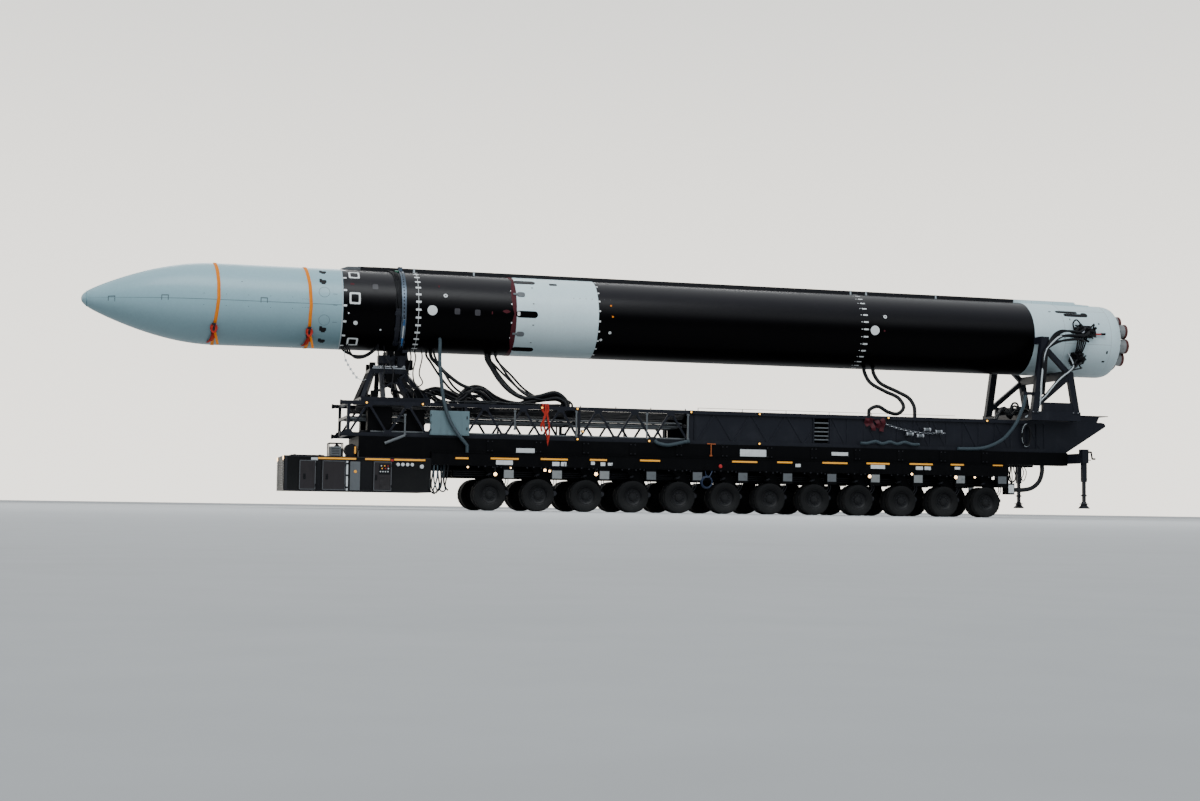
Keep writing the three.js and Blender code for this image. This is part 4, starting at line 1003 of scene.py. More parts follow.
# pale cord with small blank tags that hangs from the same fittings to the cradle's front leg
tagRoute = smoothRoute([(7.66, 0.35, 3.96), (7.65, 0.36, 3.72), (7.54, 0.38, 3.50), (7.42, 0.39, 3.32),
    (7.32, 0.40, 3.21), (7.2, 0.42, 3.17), (7.09, 0.45, 3.20), (7.01, 0.48, 3.26)], 40)
tags = [block(x, y, level - 0.04, level + 0.02, 0.028, 0.004) for x, y, level in tagRoute[10:27:4]]
addPiece("tagCord", [tube(tagRoute, 0.007, 6)] + tags, plateWhite)
# cables that wind down from the rocket round the neck of the cradle into the girder
neckCables = ((6.86, 0.50, 6.70, 0.56, 6.30), (6.70, 0.44, 6.50, 0.60, 6.55),
    (6.05, 0.40, 6.12, 0.62, 5.98), (5.92, 0.32, 6.0, 0.58, 5.80), (5.78, 0.46, 5.86, 0.70, 6.20))
for k, (x0, y, xMid, yMid, xEnd) in enumerate(neckCables):
    addHose(f"neckCable{k + 1}", 0.017, cableBlack, [(x0, y, underBody(y)), (x0, y, underBody(y, 0.07)),
        (x0 - 0.02, y + 0.06, 3.78), (xMid, yMid + 0.06, 3.45 - 0.03 * k),
        (xMid + 0.05 - 0.03 * k, yMid + 0.16, 3.1), (xEnd, yMid + 0.22, 2.86), (xEnd - 0.05, 0.84, 2.77),
        (xEnd - 0.06, 0.84, 2.737)], sides=8, count=34)
neckBoxes = ((6.16, 6.42, 0.31, 0.44, 3.80, 3.93), (6.46, 6.62, 0.1, 0.42, 3.80, 3.93),
    (6.9, 7.04, 0.30, 0.44, 3.46, 3.62), (5.98, 6.16, 0.2, 0.48, 3.46, 3.70),
    (6.32, 6.66, 0.46, 0.56, 3.12, 3.34), (5.72, 5.98, 0.62, 0.78, 2.74, 2.95),
    (6.86, 7.04, 0.66, 0.82, 2.74, 2.90), (6.52, 7.12, 0.54, 0.90, 1.86, 2.50),
    (5.72, 6.16, 0.54, 0.88, 1.86, 2.44), (6.16, 6.52, 0.56, 0.84, 1.86, 2.10))
addPiece("neckBoxes", both([box(*row) for row in neckBoxes]), bedBlack, bevel=0.008)
print("front cradle dressed")

# lattice girder: end caps, clips, pipes and cables inside, gussets at the joints
bays = np.linspace(girder["frontX"], girder["aftX"] + girder["chordHalf"], girder["bays"] + 1)
capLine = [(7.7505, 0), (7.7505, 0.05), (7.775, 0.062), (7.80, 0.062), (7.81, 0.045), (7.81, 0)]
caps, joints = [], []
for level, stations, tall in ((girder["lowZ"], bays, 0.11), (girder["highZ"], (bays[1:] + bays[:-1]) / 2,
        -0.11)):
    caps.append(turned(capLine, 20, (0, 1, level)))
    joints += [plate([(x - 0.13, level), (x - 0.07, level + tall), (x + 0.07, level + tall),
        (x + 0.13, level)], 0.008, 1.049) for x in stations]
pipeRows = ((0.56, 2.21, 0.03), (0.40, 2.21, 0.022), (0.48, 2.30, 0.024), (0.88, 1.89, 0.028))
pipes = [rod((-1.02, y, level), (7.5 - 0.15 * k, y, level), r) for k, (y, level, r) in enumerate(pipeRows)]
cables = both([rod((-1.0, 0.60 + 0.07 * k, 2.40 + 0.03 * k), (7.4, 0.60 + 0.07 * k, 2.40 + 0.03 * k), 0.018,
    8) for k in range(5)])
t = np.linspace(0, 1, 60)
for s in (1, -1):
    for k in range(5):
        y = s * (0.62 + 0.05 * k) + 0.012 * np.sin(9 * t + k)
        level = 1.875 + 0.012 * np.cos(13 * t + 2 * k) + 0.016 * (k % 2)
        cables.append(tube(np.stack([7.3 - 8.2 * t, y, level], -1), 0.014, 8))
addPiece("chordEndCaps", both(caps), frameGrey)
addPiece("latticeGussets", both(joints), frameGrey)
addPiece("latticePipes", both(pipes), panelGrey)
addPiece("latticeCables", cables, cableBlack)
uprights = []
for x, low, high in ((1.93, 1.86, 2.53), (0.09, 1.86, 2.53), (-1.0, 1.86, 2.53), (6.23, 1.80, 2.33),
        (3.5, 2.0, 2.5)):
    uprights.append(rod((x, 1.075, low), (x, 1.075, high), 0.022))
    uprights += [block(x, 1.0725, end - 0.015, end + 0.015, 0.03, 0.0275)
        for end in (low + 0.03, high - 0.03)]
addPiece("cableTrays", both([box(-0.95, 7.4, 0.60, 0.86, 1.846, 1.852)]), frameGrey)
addPiece("latticeUprights", both(uprights), panelGrey)

# amber marker lamps on the chords
lampPlaces = ((7.17, 2.58), (5.8, 2.58), (2.81, 2.58), (1.9, 2.58), (1.76, 2.02), (1.89, 1.815),
    (0.02, 1.815), (-1.09, 2.58), (-2.94, 2.58), (-2.94, 1.815), (-6.54, 2.58), (-9.4, 2.58))
lamps = [dome(x, 1.066, level, 0.024, 0.022) for x, level in lampPlaces]
holders = [block(x, 1.0556, level - 0.03, level + 0.03, 0.045, 0.0104) for x, level in lampPlaces]
addPiece("markerLamps", both(lamps), amberLamp)
addPiece("markerHolders", both(holders), cableBlack, bevel=0.004)

# red lifting strap hung over the top chord
t = np.linspace(0, 1, 26)
redStrap = []
for k, (x, low, sway) in enumerate(((2.72, 1.72, 0.06), (2.79, 1.98, -0.05), (2.66, 1.63, 0.03))):
    over = np.array([(x, 0.93, 2.52), (x, 0.94, 2.64), (x, 1.0, 2.672), (x, 1.06, 2.645), (x, 1.085, 2.5)])
    down = np.stack([x + sway * np.sin(5 * t + k), 1.088 + 0.02 * np.sin(4 * t) + 0.01 * k,
        2.45 - (2.45 - low) * t], -1)
    redStrap.append(ribbon(smoothRoute(np.vstack([over, down[::5]]), 50), 0.045, 0.006, (0.2, 1, 0.05)))
addRibbons("redLiftingStrap", redStrap, strapRed)
print("lattice girder dressed")


# control cabinet on the girder side
cabinet = {"x": (4.65, 5.62), "y": (1.0453, 1.142), "z": (1.83, 2.43)}
addPiece("controlCabinet", box(*cabinet["x"], *cabinet["y"], *cabinet["z"]), cabinetGrey,
    replaces=("control_cabinet",), slot="cabinet_grey", bevel=0.01)
addPiece("cabinetDoor", box(4.675, 5.595, 1.142, 1.146, 1.855, 2.405), cabinetGrey, bevel=0.0035)
hardware = [box(4.70, 4.725, 1.146, 1.158, level - 0.035, level + 0.035) for level in (2.0, 2.27)]
hardware += [rod((5.605, 1.146, level - 0.03), (5.605, 1.146, level + 0.03), 0.009)
    for level in (1.95, 2.13, 2.31)]
hardware += [rod((x, 1.09, 2.43), (x, 1.09, 2.50), 0.014) for x in (5.48, 5.36, 5.24, 4.95, 4.83)]
hardware += [box(x - 0.04, x + 0.04, 1.0455, 1.075, 2.43, 2.47) for x in (4.72, 5.55)]
addPiece("cabinetHardware", hardware, darkSteel, bevel=0.002)

# clad girder: window frames and pipes, couplings, a chain and a wavy hose on the near side
cladBits = [block(x, 1.0025, 1.86, 2.535, 0.012, 0.0175) for x in (-1.2, -4.45, -4.91, -10.9)]
addPiece("cladTrim", both(cladBits), frameGrey, bevel=0.003)
windowPipes = [rod((-4.88, 0.97, level), (-4.48, 0.97, level), 0.02)
    for level in (1.96, 2.06, 2.17, 2.27, 2.40)]
addPiece("windowPipes", both(windowPipes), panelGrey)
couplings, hub = [], []
for x, level in ((-7.12, 2.17), (-7.42, 2.13), (-7.62, 2.30), (-7.95, 2.25)):
    hub.append(rod((x - 0.07, 1.10, level), (x + 0.07, 1.10, level), 0.045, 16))
    couplings += [rod((end - 0.02, 1.10, level), (end + 0.02, 1.10, level), 0.06, 16)
        for end in (x - 0.08, x + 0.08)]
    couplings.append(box(x - 0.03, x + 0.03, 0.986, 1.08, level - 0.03, level + 0.03))
addPiece("pipeCouplings", couplings, brightSteel, bevel=0.003)
addPiece("pipeCouplingBodies", hub, panelGrey)
chain = []
for k in range(26):
    t = k / 25
    centre = np.array([-6.45 - 1.70 * t, 1.055, 2.42 - 0.20 * t - 0.09 * np.sin(np.pi * t)])
    a = fullTurn(14)
    lean = np.array([0.0, 1.0, 0.0]) if k % 2 else np.array([0.0, 0.0, 1.0])
    along, across = 0.042 * np.cos(a)[:, None], 0.02 * np.sin(a)[:, None]
    link = centre + along * np.array([1.0, 0, -0.08]) + across * lean
    chain.append(tube(np.vstack([link, link[:2]]), 0.007, 6))
addPiece("girderChain", chain, brightSteel)
cloth = []
for k, (x, dip) in enumerate(((-5.95, 0.10), (-6.08, 0.16), (-6.22, 0.12), (-6.36, 0.17))):
    t = np.linspace(0, 1, 14)
    fold = np.stack([x + 0.03 * np.sin(4 * t + k), 1.05 + 0.035 * np.sin(7 * t + 2 * k),
        2.56 - dip * 2 * t], -1)
    cloth.append(ribbon(fold, 0.11, 0.006, (0.3, 1, 0.1)))
addRibbons("girderStrapFolds", cloth, crimson)
wave = [(-5.73, 1.1, 1.90)] + [(-5.93 - 0.21 * k, 1.11, 1.90 + 0.05 * (k % 2))
    for k in range(7)] + [(-7.40, 1.1, 1.90)]
wave = smoothRoute(wave, 60)
addPiece("girderHoseRun", tube(wave, 0.04, 14), hoseGrey, attributes=alongTube(wave, 14), smooth=60)
print("clad girder dressed")

# transporter sides: amber strips, blank plates, valve faces, lamps, ribs and bolted clamps
bedSide = {"y": 1.2005, "packY": 1.1805, "frameY": 1.1005, "stripHalf": 0.021, "rise": 0.0083,
    "strips": ((8.315, 7.407), (7.190, 6.586), (6.488, 5.731), (4.991, 4.669), (4.118, 3.414),
        (2.856, 2.166), (1.599, 1.159), (0.297, -0.230), (-2.154, -2.832), (-3.379, -3.792),
        (-4.623, -5.321), (-5.856, -6.508), (-7.079, -7.741), (-8.262, -8.640), (-9.490, -9.785)),
    "plates": ((8.40, 1.185, 0.08, 0.033), (3.21, 1.50, 0.25, 0.055), (-2.76, 1.57, 0.36, 0.09),
        (-5.15, 1.60, 0.23, 0.045), (3.77, 1.18, 0.21, 0.055), (2.47, 1.16, 0.09, 0.05),
        (2.27, 1.16, 0.07, 0.05), (1.52, 1.19, 0.05, 0.04), (1.26, 1.17, 0.06, 0.045),
        (1.07, 1.17, 0.06, 0.035), (-3.95, 1.20, 0.07, 0.04), (-6.18, 1.19, 0.20, 0.05),
        (-7.36, 1.17, 0.10, 0.045), (-7.60, 1.17, 0.09, 0.045), (-8.46, 1.18, 0.08, 0.035)),
    "lamps": ((3.999, 0.90, 0.045), (2.75, 1.02, 0.035), (2.63, 1.00, 0.03), (1.44, 0.95, 0.045),
        (-5.938, 1.03, 0.045), (-7.133, 1.11, 0.03), (-8.402, 1.05, 0.045), (4.687, 1.06, 0.022),
        (3.613, 1.06, 0.02), (-8.95, 1.06, 0.026)),
    "brightBoxes": (0, 1, 2, 8, 9, 10)}
strips, plates, lamps, lampRings, knobs = [], [], [], [], []
brightFaces, shadedValveFaces, frameClamps, clampBolts = [], [], [], []
for x1, x0 in bedSide["strips"]:
    y, level = (bedSide["packY"], 1.205) if x0 > 5.6 else (bedSide["y"], 1.272 + bedSide["rise"] * (5 - x0))
    strips.append(box(x0, x1, y, y + 0.012, level - bedSide["stripHalf"], level + bedSide["stripHalf"]))
for x, level, halfLength, halfHeight in bedSide["plates"]:
    y = bedSide["frameY"] if level > 1.42 else bedSide["packY"] if x > 5.6 else bedSide["y"]
    level += bedSide["rise"] * (5 - x) if y == bedSide["y"] else 0
    plates.append(block(x, y + 0.003, level - halfHeight, level + halfHeight, halfLength, 0.003))
for x, level, r in bedSide["lamps"]:
    lamps.append(dome(x, 1.228, level, r, 0.02))
    lampRings += [rod((x, 1.19, level), (x, 1.229, level), r + 0.012, 16),
        bar((x, 1.19, level), (x, 1.19, 1.12), 0.03, 0.02, (0, 1, 0))]
axleX = wheelbase["firstX"] - wheelbase["pitch"] * np.arange(wheelbase["count"])
for i, x in enumerate(axleX):
    low = 0.81 + 0.007 * (wheelbase["firstX"] - x)
    face = [box(x - 0.585, x - 0.34, 1.2055, 1.211, low, low + 0.2),
        box(x - 0.56, x - 0.50, 1.211, 1.218, low + 0.1, low + 0.14)]
    # painted shade: the valve faces in the bed's shaded middle get a darker grey, those towards the ends a
    # lighter one
    (brightFaces if i in bedSide["brightBoxes"] else shadedValveFaces).extend(face)
    for k, dx in enumerate((-0.27, -0.17, -0.06, 0.13, 0.3)):
        level = 1.07 + 0.02 * (k % 2)
        knobs.append(rod((x + dx, 1.2, level), (x + dx, 1.225, level), 0.018, 12))
    frameClamps.append(block(x, 1.1091, 1.44, 1.75, 0.09, 0.0089))
    clampBolts += bolts([(x + dx, 1.118, level) for dx in (-0.055, 0.055) for level in (1.48, 1.71)],
        (0, 1, 0), 0.016)
sideRibs = [box(x - 0.008, x + 0.008, 1.2, 1.214, 1.11, 1.21) for x in np.arange(5.3, -9.9, -0.6103)]
sideRibs += [box(-9.94, 5.57, 1.2, 1.216, low, high) for low, high in ((1.10, 1.112), (1.405, 1.42))]
boxGrey = finish("boxGrey", (0.24, 0.25, 0.25), dirt=0.35, dirtColor=(0.1, 0.1, 0.1), scale=5.0, wear=0.3)
for name, shapes, material, bevel in (("amberStrips", strips, amber, 0.003),
        ("blankPlates", plates, plateWhite, 0.0015), ("workLamps", lamps, workLamp, 0),
        ("workLampHousings", lampRings, cableBlack, 0), ("valveFaces", brightFaces, boxGrey, 0.003),
        ("valveFacesShaded", shadedValveFaces, panelGrey, 0.003), ("valveKnobs", knobs, darkSteel, 0),
        ("bedRibs", sideRibs, bedBlack, 0.002), ("frameClamps", frameClamps, bedBlack, 0.004),
        ("frameClampBolts", clampBolts, darkSteel, 0), ("redMarkers", [box(6.505, 6.57, 1.1805, 1.2, 1.165,
        1.215), dome(-1.84, 1.2005, 1.21, 0.05, 0.03)], redPlastic, 0.002)):
    addPiece(name, both(shapes), material, bevel=bevel)

# pipe trays along the underside, inboard of the wheels, with pipes on them; the trays' black sides also
# close the view through the wheel gaps, as painted shade
addPiece("bedTraysAndShade", both([box(-9.9, 5.0, 0.64, 0.69, 0.813, 1.02)]), bedBlack, bevel=0.004)
addPiece("bedTrayPipes", both([rod((-9.85, 0.705, level), (4.95, 0.705, level), 0.016, 10)
    for level in (0.87, 0.92, 0.97)]), darkSteel)

# swing arms: pivot caps, cylinder collars and the steel pipes down to them
caps, collars, pipes = [], [], []
for x in axleX:
    lower, upper = np.array([x - 0.2, 0.935, 0.47]), np.array([x + 0.06, 0.935, 1.10])
    collars += [rod(lower + t * (upper - lower), lower + (t + 0.06) * (upper - lower), 0.085, 20)
        for t in (0.30, 0.66)]
    caps.append(rod((x - 0.44, 1.0, 0.45), (x - 0.44, 1.06, 0.45), 0.06, 16))
    for k, end in enumerate((x - 0.40, x - 0.46)):
        pipes.append(cable([(end, 1.12, 0.80), (end, 1.12, 0.70), (end + 0.08, 1.08, 0.60 - 0.03 * k),
            (x - 0.22, 1.02, 0.62 - 0.03 * k), (x - 0.13, 0.99, 0.66)], 20, 0.011))
addPiece("pivotCaps", both(caps), darkSteel, bevel=0.004)
addPiece("cylinderCollars", both(collars), darkSteel, bevel=0.003)
addPiece("cylinderPipes", both(pipes), darkSteel)

# service doors: rim, handle and hinges that turn with each door; buttons and a louvre on the control door
doorFaces = {"service_door_front": (8.36, 8.76, 8.63), "service_door_middle": (7.65, 8.215, 8.10),
    "service_door_control": (6.54, 6.99, 6.92)}
doorY, rimY, rimWide, rimLow, rimHigh = 1.2105, 1.2135, 0.012, 0.452, 1.148
for node, (x0, x1, handleX) in doorFaces.items():
    rim = [box(x0 + rimWide, x1 - rimWide, doorY, rimY, a, a + rimWide)
        for a in (rimLow, rimHigh - rimWide)]
    rim += [box(a, a + rimWide, doorY, rimY, rimLow, rimHigh) for a in (x0 + rimWide, x1 - 2 * rimWide)]
    label = node.replace("service_door_", "")
    addPiece(f"{label}DoorRim", rim, panelGrey, body=node, bevel=0.001)
    grip = [box(handleX - 0.028, handleX + 0.028, doorY, 1.2165, 0.70, 0.83),
        box(handleX - 0.012, handleX + 0.012, 1.2165, 1.235, 0.72, 0.81)]
    grip += [rod((x0 + 0.008, 1.2185, a), (x0 + 0.008, 1.2185, a + 0.07), 0.011, 10) for a in (0.52, 1.02)]
    if label == "control":
        grip += [box(6.58, 6.86, doorY, 1.2155, 0.84, 1.09)]
        slats = [bar((6.60, 1.214, a), (6.83, 1.214, a), 0.012, 0.016, (0, 1, 0.5))
            for a in np.linspace(0.50, 0.78, 11)]
        addPiece("controlDoorLouvre", slats, doorGrey, body=node)
        buttons = {"Red": (redPlastic, ((6.64, 1.045), (6.70, 0.985))),
            "Orange": (amber, ((6.72, 1.05), (6.78, 0.985))), "White": (plateWhite,
            ((6.80, 1.05), (6.64, 0.91), (6.70, 0.91), (6.76, 0.91), (6.82, 0.91), (6.63, 0.985)))}
        for name, (material, spots) in buttons.items():
            addPiece(f"controlButtons{name}", [rod((x, 1.2155, a), (x, 1.226, a), 0.016, 12)
                for x, a in spots], material, body=node)
    addPiece(f"{label}DoorFittings", grip, cableBlack, body=node, bevel=0.002)

# power pack: posts, panels, lamps, louvres on the far side, lids and the gear on top
skinY, louvres = bedSide["packY"], (5.75, 6.85, 7.95)
addPiece("packPost", box(7.595, 7.64, skinY, 1.2, 0.44, 1.15), plateWhite, bevel=0.003)
hinges = [box(7.575, 7.655, 1.195, 1.212, a, a + 0.035) for a in (0.50, 0.79, 1.07)]
hinges += [box(x0, x1, skinY, 1.186, 0.44, 1.15) for x0, x1 in ((8.232, 8.345), (7.0, 7.28))]
addPiece("packPostHinges", hinges, cableBlack, bevel=0.002)
addPiece("packPanel", box(7.305, 7.545, skinY, 1.188, 0.45, 1.14), panelGrey, bevel=0.003)
addPiece("packReflector", dome(7.42, 1.188, 0.90, 0.035, 0.012), amber)
addPiece("packRoundLamps", both([dome(x, 1.181, 1.09, 0.043, 0.022)
    for x in (6.39, 6.275, 6.16, 6.045)] + [dome(5.81, 1.181, 1.05, 0.05, 0.022)]), plateWhite)
packTrim = both([box(5.62, 9.08, 1.1802, 1.19, a, a + 0.018) for a in (0.422, 1.232)] +
    [box(9.04, 9.10, 1.1802, 1.19, 0.44, 1.232)])
packTrim += [box(x, x + 0.9, -1.19, -1.1802, a, a + 0.015) for x in louvres for a in (0.50, 1.11)]
packTrim += [bar((x + 0.02, -1.188, b), (x + 0.88, -1.188, b), 0.014, 0.03, (0, 1, 0.6)) for x in louvres
    for b in np.linspace(0.55, 1.08, 12)]
packTrim += [box(9.12, 9.128, y, y + 0.66, a, a + 0.015) for y in (-1.1, 0.44) for a in (0.50, 1.15)]
packTrim += [bar((9.126, y + 0.02, b), (9.126, y + 0.64, b), 0.012, 0.03, (1, 0, 0.6)) for y in (-1.1, 0.44)
    for b in np.linspace(0.56, 1.11, 10)]
addPiece("packTrim", packTrim, darkSteel, bevel=0.002)
lids = [box(8.15, 8.95, -1.05, -0.1, 1.2602, 1.285), box(8.15, 8.95, 0.05, 1.05, 1.2602, 1.285),
    box(7.45, 8.05, -1.05, 0.2, 1.2602, 1.28)]
lids += [rod((x, y, 1.285), (x, y, 1.30), 0.03, 12) for x in (8.25, 8.85) for y in (-0.9, -0.25, 0.2, 0.9)]
lids += [rod((7.60, -0.75, 1.27), (7.60, -0.75, 1.52), 0.055, 20),
    rod((7.60, -0.75, 1.50), (7.72, -0.75, 1.60), 0.055, 20)]
addPiece("packLids", lids, darkSteel, bevel=0.006)
addPiece("packCase", box(7.76, 8.03, 0.80, 1.12, 1.2605, 1.50), panelGrey, bevel=0.02)
caseFrame = [rod((x, y, 1.262), (x, y, 1.58), 0.014, 10) for x in (7.73, 8.06) for y in (0.78, 1.14)]
caseFrame += [rod((7.73, y, 1.575), (8.06, y, 1.575), 0.014, 10) for y in (0.78, 1.14)]
caseFrame += [box(7.80, 7.99, 1.12, 1.126, a, a + 0.012) for a in (1.32, 1.36, 1.40, 1.44)]
caseFrame += [rod((7.53, 0.78, 1.42), (7.53, 1.12, 1.42), 0.15, 28),
    box(7.42, 7.64, 0.80, 1.10, 1.2605, 1.33)]
addPiece("packCaseFrame", caseFrame, cableBlack, bevel=0.004)
addPiece("packOrangeMarker", [box(7.415, 7.445, 1.122, 1.14, 1.34, 1.49),
    box(7.41, 7.45, 1.10, 1.124, 1.33, 1.50)], amber, bevel=0.002)
headlamp = [(9.121, 0), (9.121, 0.055), (9.137, 0.048), (9.142, 0)]
addPiece("packHeadlamps", both([turned(headlamp, 20, (0, 1.02, 1.205))]), workLamp)
print("transporter sides dressed")

# middle junction: grey hose, T-handle, coiled hose, crumpled hose bundle behind the power pack
addHose("junctionHose", 0.045, hoseGrey, [(-0.14, 1.06, 1.82), (-0.18, 1.13, 1.77), (-0.42, 1.16, 1.72),
    (-0.68, 1.16, 1.76), (-0.92, 1.14, 1.815), (-1.03, 1.06, 1.82)])
handle = [rod((-1.61, 1.13, 1.47), (-1.61, 1.13, 1.77), 0.013, 12),
    rod((-1.50, 1.13, 1.78), (-1.73, 1.13, 1.772), 0.013, 12), box(-1.64, -1.58, 1.1, 1.135, 1.46, 1.50)]
addPiece("tHandleLeft", handle, rustOrange)
addPiece("tHandleRight", mirrored(handle), rustOrange)
a = np.linspace(0.5 * np.pi, 4.6 * np.pi, 30)
coil = np.stack([-1.47 + (0.17 - 0.003 * a) * np.cos(a), 1.16 + 0.006 * a,
    0.80 + (0.17 - 0.003 * a) * np.sin(a)], -1)
addHose("blueCoil", 0.016, navyPlastic, np.vstack([[(-1.45, 1.155, 1.09)], coil,
    [(-1.58, 1.24, 1.02), (-1.62, 1.19, 1.09)]]), sides=8, count=40)
for k in range(5):
    t = np.linspace(0, 1, 12)
    x = 5.20 + 0.09 * k + 0.07 * np.sin(9 * t + 1.7 * k) * np.sin(np.pi * t)
    y = 1.13 + 0.028 * np.cos(7 * t + 2 * k) + 0.01 * k
    level = 1.095 - (0.62 + 0.02 * k) * np.sin(np.pi * t) ** 0.7
    addHose(f"bedBundle{k + 1}", 0.018, (hoseBlack, hoseGrey)[k % 2],
        np.stack([x + 0.08 * (t - 0.5), y, level], -1), sides=8, count=36)
addPiece("innerGreyPipe", both([rod((6.23, 1.075, 1.80), (6.72, 1.12, 1.60), 0.035, 12)]), panelGrey)

# black hoses beside the big loops and along the top of the lattice girder
extraLoops = ((4.02, 0.10, 1.90, 0.42, 0.00), (3.88, 0.30, 2.12, 0.64, -0.07),
    (3.80, 0.02, 2.08, 0.20, 0.06), (5.46, 0.40, 4.22, 0.72, 0.02), (5.60, 0.12, 4.0, 0.48, -0.05))
for k, (x0, y0, x1, y1, sag) in enumerate(extraLoops):
    run = x0 - x1
    addHose(f"bellyLoop{k + 1}", 0.028, hoseBlack, [(x0, y0, underBody(y0)), (x0, y0, underBody(y0, 0.08)),
        (x0 - 0.06 * run, y0 + 0.02, 3.72), (x0 - 0.22 * run, y0 + 0.10, 3.38 + sag),
        (x0 - 0.42 * run, y0 + 0.18, 3.02 + sag), (x0 - 0.66 * run, y1 - 0.03, 2.84 + 0.5 * sag),
        (x0 - 0.88 * run, y1, 2.85), (x1, y1, 2.75), (x1 - 0.02, y1, 2.645)], sides=10)
for k in range(4):
    x = np.linspace(4.75 + 0.25 * k, 3.95 - 0.35 * k, 16)
    inward = np.sin(np.linspace(0, np.pi, 16)) ** 0.4
    y = 0.97 - 0.06 * k * inward + 0.008 * inward * np.sin(3.1 * x + k)
    level = 2.65 + 0.03 * inward * np.abs(np.sin(2.3 * x + 1.3 * k)) + 0.02 * (k % 2) * inward
    addHose(f"girderTopHose{k + 1}", 0.024, hoseBlack, np.stack([x, y, level], -1), sides=8, count=40)
# heap of slack hoses on the girder between the cradle and the big loops
# each row: (x, level) points, number of hoses, first y, step in y, radius
heaps = ((((4.98, 2.66), (4.76, 2.84), (4.50, 3.08), (4.28, 3.08), (3.94, 2.85), (3.62, 2.74), (3.0, 2.69),
    (2.35, 2.67)), 6, 0.18, 0.12, 0.036), (((5.66, 2.77), (5.60, 2.96), (5.44, 3.02), (5.14, 2.94),
    (4.84, 2.81), (4.6, 2.73), (4.4, 2.67)), 5, 0.24, 0.12, 0.032), (((5.70, 2.77), (5.66, 2.92),
    (5.5, 2.90), (5.36, 2.76), (5.2, 2.67)), 5, 0.20, 0.14, 0.03), (((5.0, 2.67), (4.86, 2.80),
    (4.62, 2.92), (4.46, 2.80), (4.3, 2.67)), 4, 0.28, 0.15, 0.032),
    (((3.3, 2.69), (3.0, 2.82), (2.66, 2.93), (2.36, 3.0), (2.14, 2.92), (2.07, 2.78), (2.2, 2.67)), 3,
    0.34, 0.10, 0.046))
heapHoses = []
for j, (points, count, y0, step, radius) in enumerate(heaps):
    points = np.array(points)
    for k in range(count):
        t = np.linspace(0, np.pi, len(points))
        x = points[:, 0] + 0.05 * np.sin(2.3 * k + j + 2 * t)
        y = y0 + step * k + 0.07 * np.sin(1.7 * k + 2 * j + 1.5 * t) * np.sin(t)
        level = points[:, 1] - 0.07 * (k % 3) * np.sin(t)
        heapHoses.append(cable(np.stack([x, y, level], -1), 40, radius, 10))
addPiece("heapHoses", heapHoses, cableBlack)
# thin line on short posts along the top of the clad girder
topLine = [rod((x, 0.97, 2.625), (x, 0.97, 2.70), 0.008, 6) for x in np.arange(-1.3, -8.5, -1.2)]
addPiece("girderTopLine", both(topLine + [rod((-1.3, 0.97, 2.695), (-8.5, 0.97, 2.695), 0.006, 6)]),
    cableBlack)
eyeLine = [(0.018, 0.012), (0.03, 0.0), (0.042, 0.012), (0.03, 0.024)]
addPiece("chordEyes", both([hoop(eyeLine, 12, (x, 1.0, 2.645)) for x in np.arange(7.3, -1.0, -0.92)]),
    darkSteel)
print("middle dressed")

# umbilical plates on the engine bay, their plugs, red pin and cables down past the rear cradle
umbilical = {"upper": (-12.33, 82), "lower": (-12.22, 123), "spread": (0.26, 9), "knots": 26,
    "bands": ((-12.52, -12.08, 74, 90, 1.05), (-12.60, -12.22, 71, 84, 1.035),
        (-12.66, -12.46, 79, 88, 1.12), (-12.26, -12.1, 77, 90, 1.11), (-12.42, -12.3, 74, 82, 1.13),
        (-12.38, -12.0, 114, 130, 1.05), (-12.28, -12.06, 118, 134, 1.11), (-12.44, -12.3, 120, 128, 1.09)),
    "plugs": ((-12.14, 76), (-12.30, 79), (-12.46, 76), (-12.58, 80), (-12.18, 84), (-12.36, 86),
        (-12.50, 85), (-12.14, 92), (-12.38, 93), (-12.12, 116), (-12.28, 117), (-12.08, 125),
        (-12.24, 130), (-12.38, 126))}
rng = np.random.default_rng(11)
knotDraws = rng.uniform(-1, 1, (umbilical["knots"], 8))
plugs, plugRings, plateParts, knots = [], [], [], []
for s in (1, -1):
    plateParts += [bodyBand(x0, x1, s * a0, s * a1, 0.999, top)
        for x0, x1, a0, a1, top in umbilical["bands"]]
    for k, (x, a) in enumerate(umbilical["plugs"]):
        tip = onBody(x + 0.05 * ((k * 5) % 3 - 1), s * (a + 3 * ((k * 7) % 3 - 1)), 1.19)
        plugs.append(rod(onBody(x, s * a, 1.01), tip, 0.036 - 0.004 * (k % 3), 14))
        if k % 5 == 1:
            plugRings.append(rod(onBody(x, s * a, 1.10), onBody(x, s * a, 1.125), 0.05, 18))
    for k, draw in enumerate(knotDraws):
        x, a = umbilical["lower"] if k % 3 == 2 else umbilical["upper"]
        wide, turn = umbilical["spread"]
        first = onBody(x + wide * draw[0], s * (a + turn * draw[1]), 1.04)
        last = onBody(x + wide * draw[2], s * (a + turn * draw[3]), 1.04)
        bend = onBody(x + 1.2 * wide * draw[4], s * (a + 1.3 * turn * draw[5]), 1.16 + 0.03 * draw[6])
        knots.append(cable([first, 0.55 * first + 0.45 * bend + 0.03 * draw[7], bend,
            0.45 * bend + 0.55 * last, last], 18, 0.019 + 0.005 * draw[6]))
    for k in range(5):
        run = ((-12.12 - 0.07 * k, 90, 1.05), (-12.08 - 0.06 * k, 98, 1.14), (-12.06 - 0.05 * k, 108, 1.15),
            (-12.10 - 0.04 * k, 117, 1.05))
        knots.append(cable([onBody(x, s * a, r) for x, a, r in run], 16, 0.02))
    run = ((-12.04, 80, 1.06), (-12.0, 70, 1.10), (-12.1, 65, 1.13), (-12.2, 68, 1.1), (-12.26, 74, 1.05))
    knots.append(cable([onBody(x, s * a, r) for x, a, r in run], 20, 0.022))
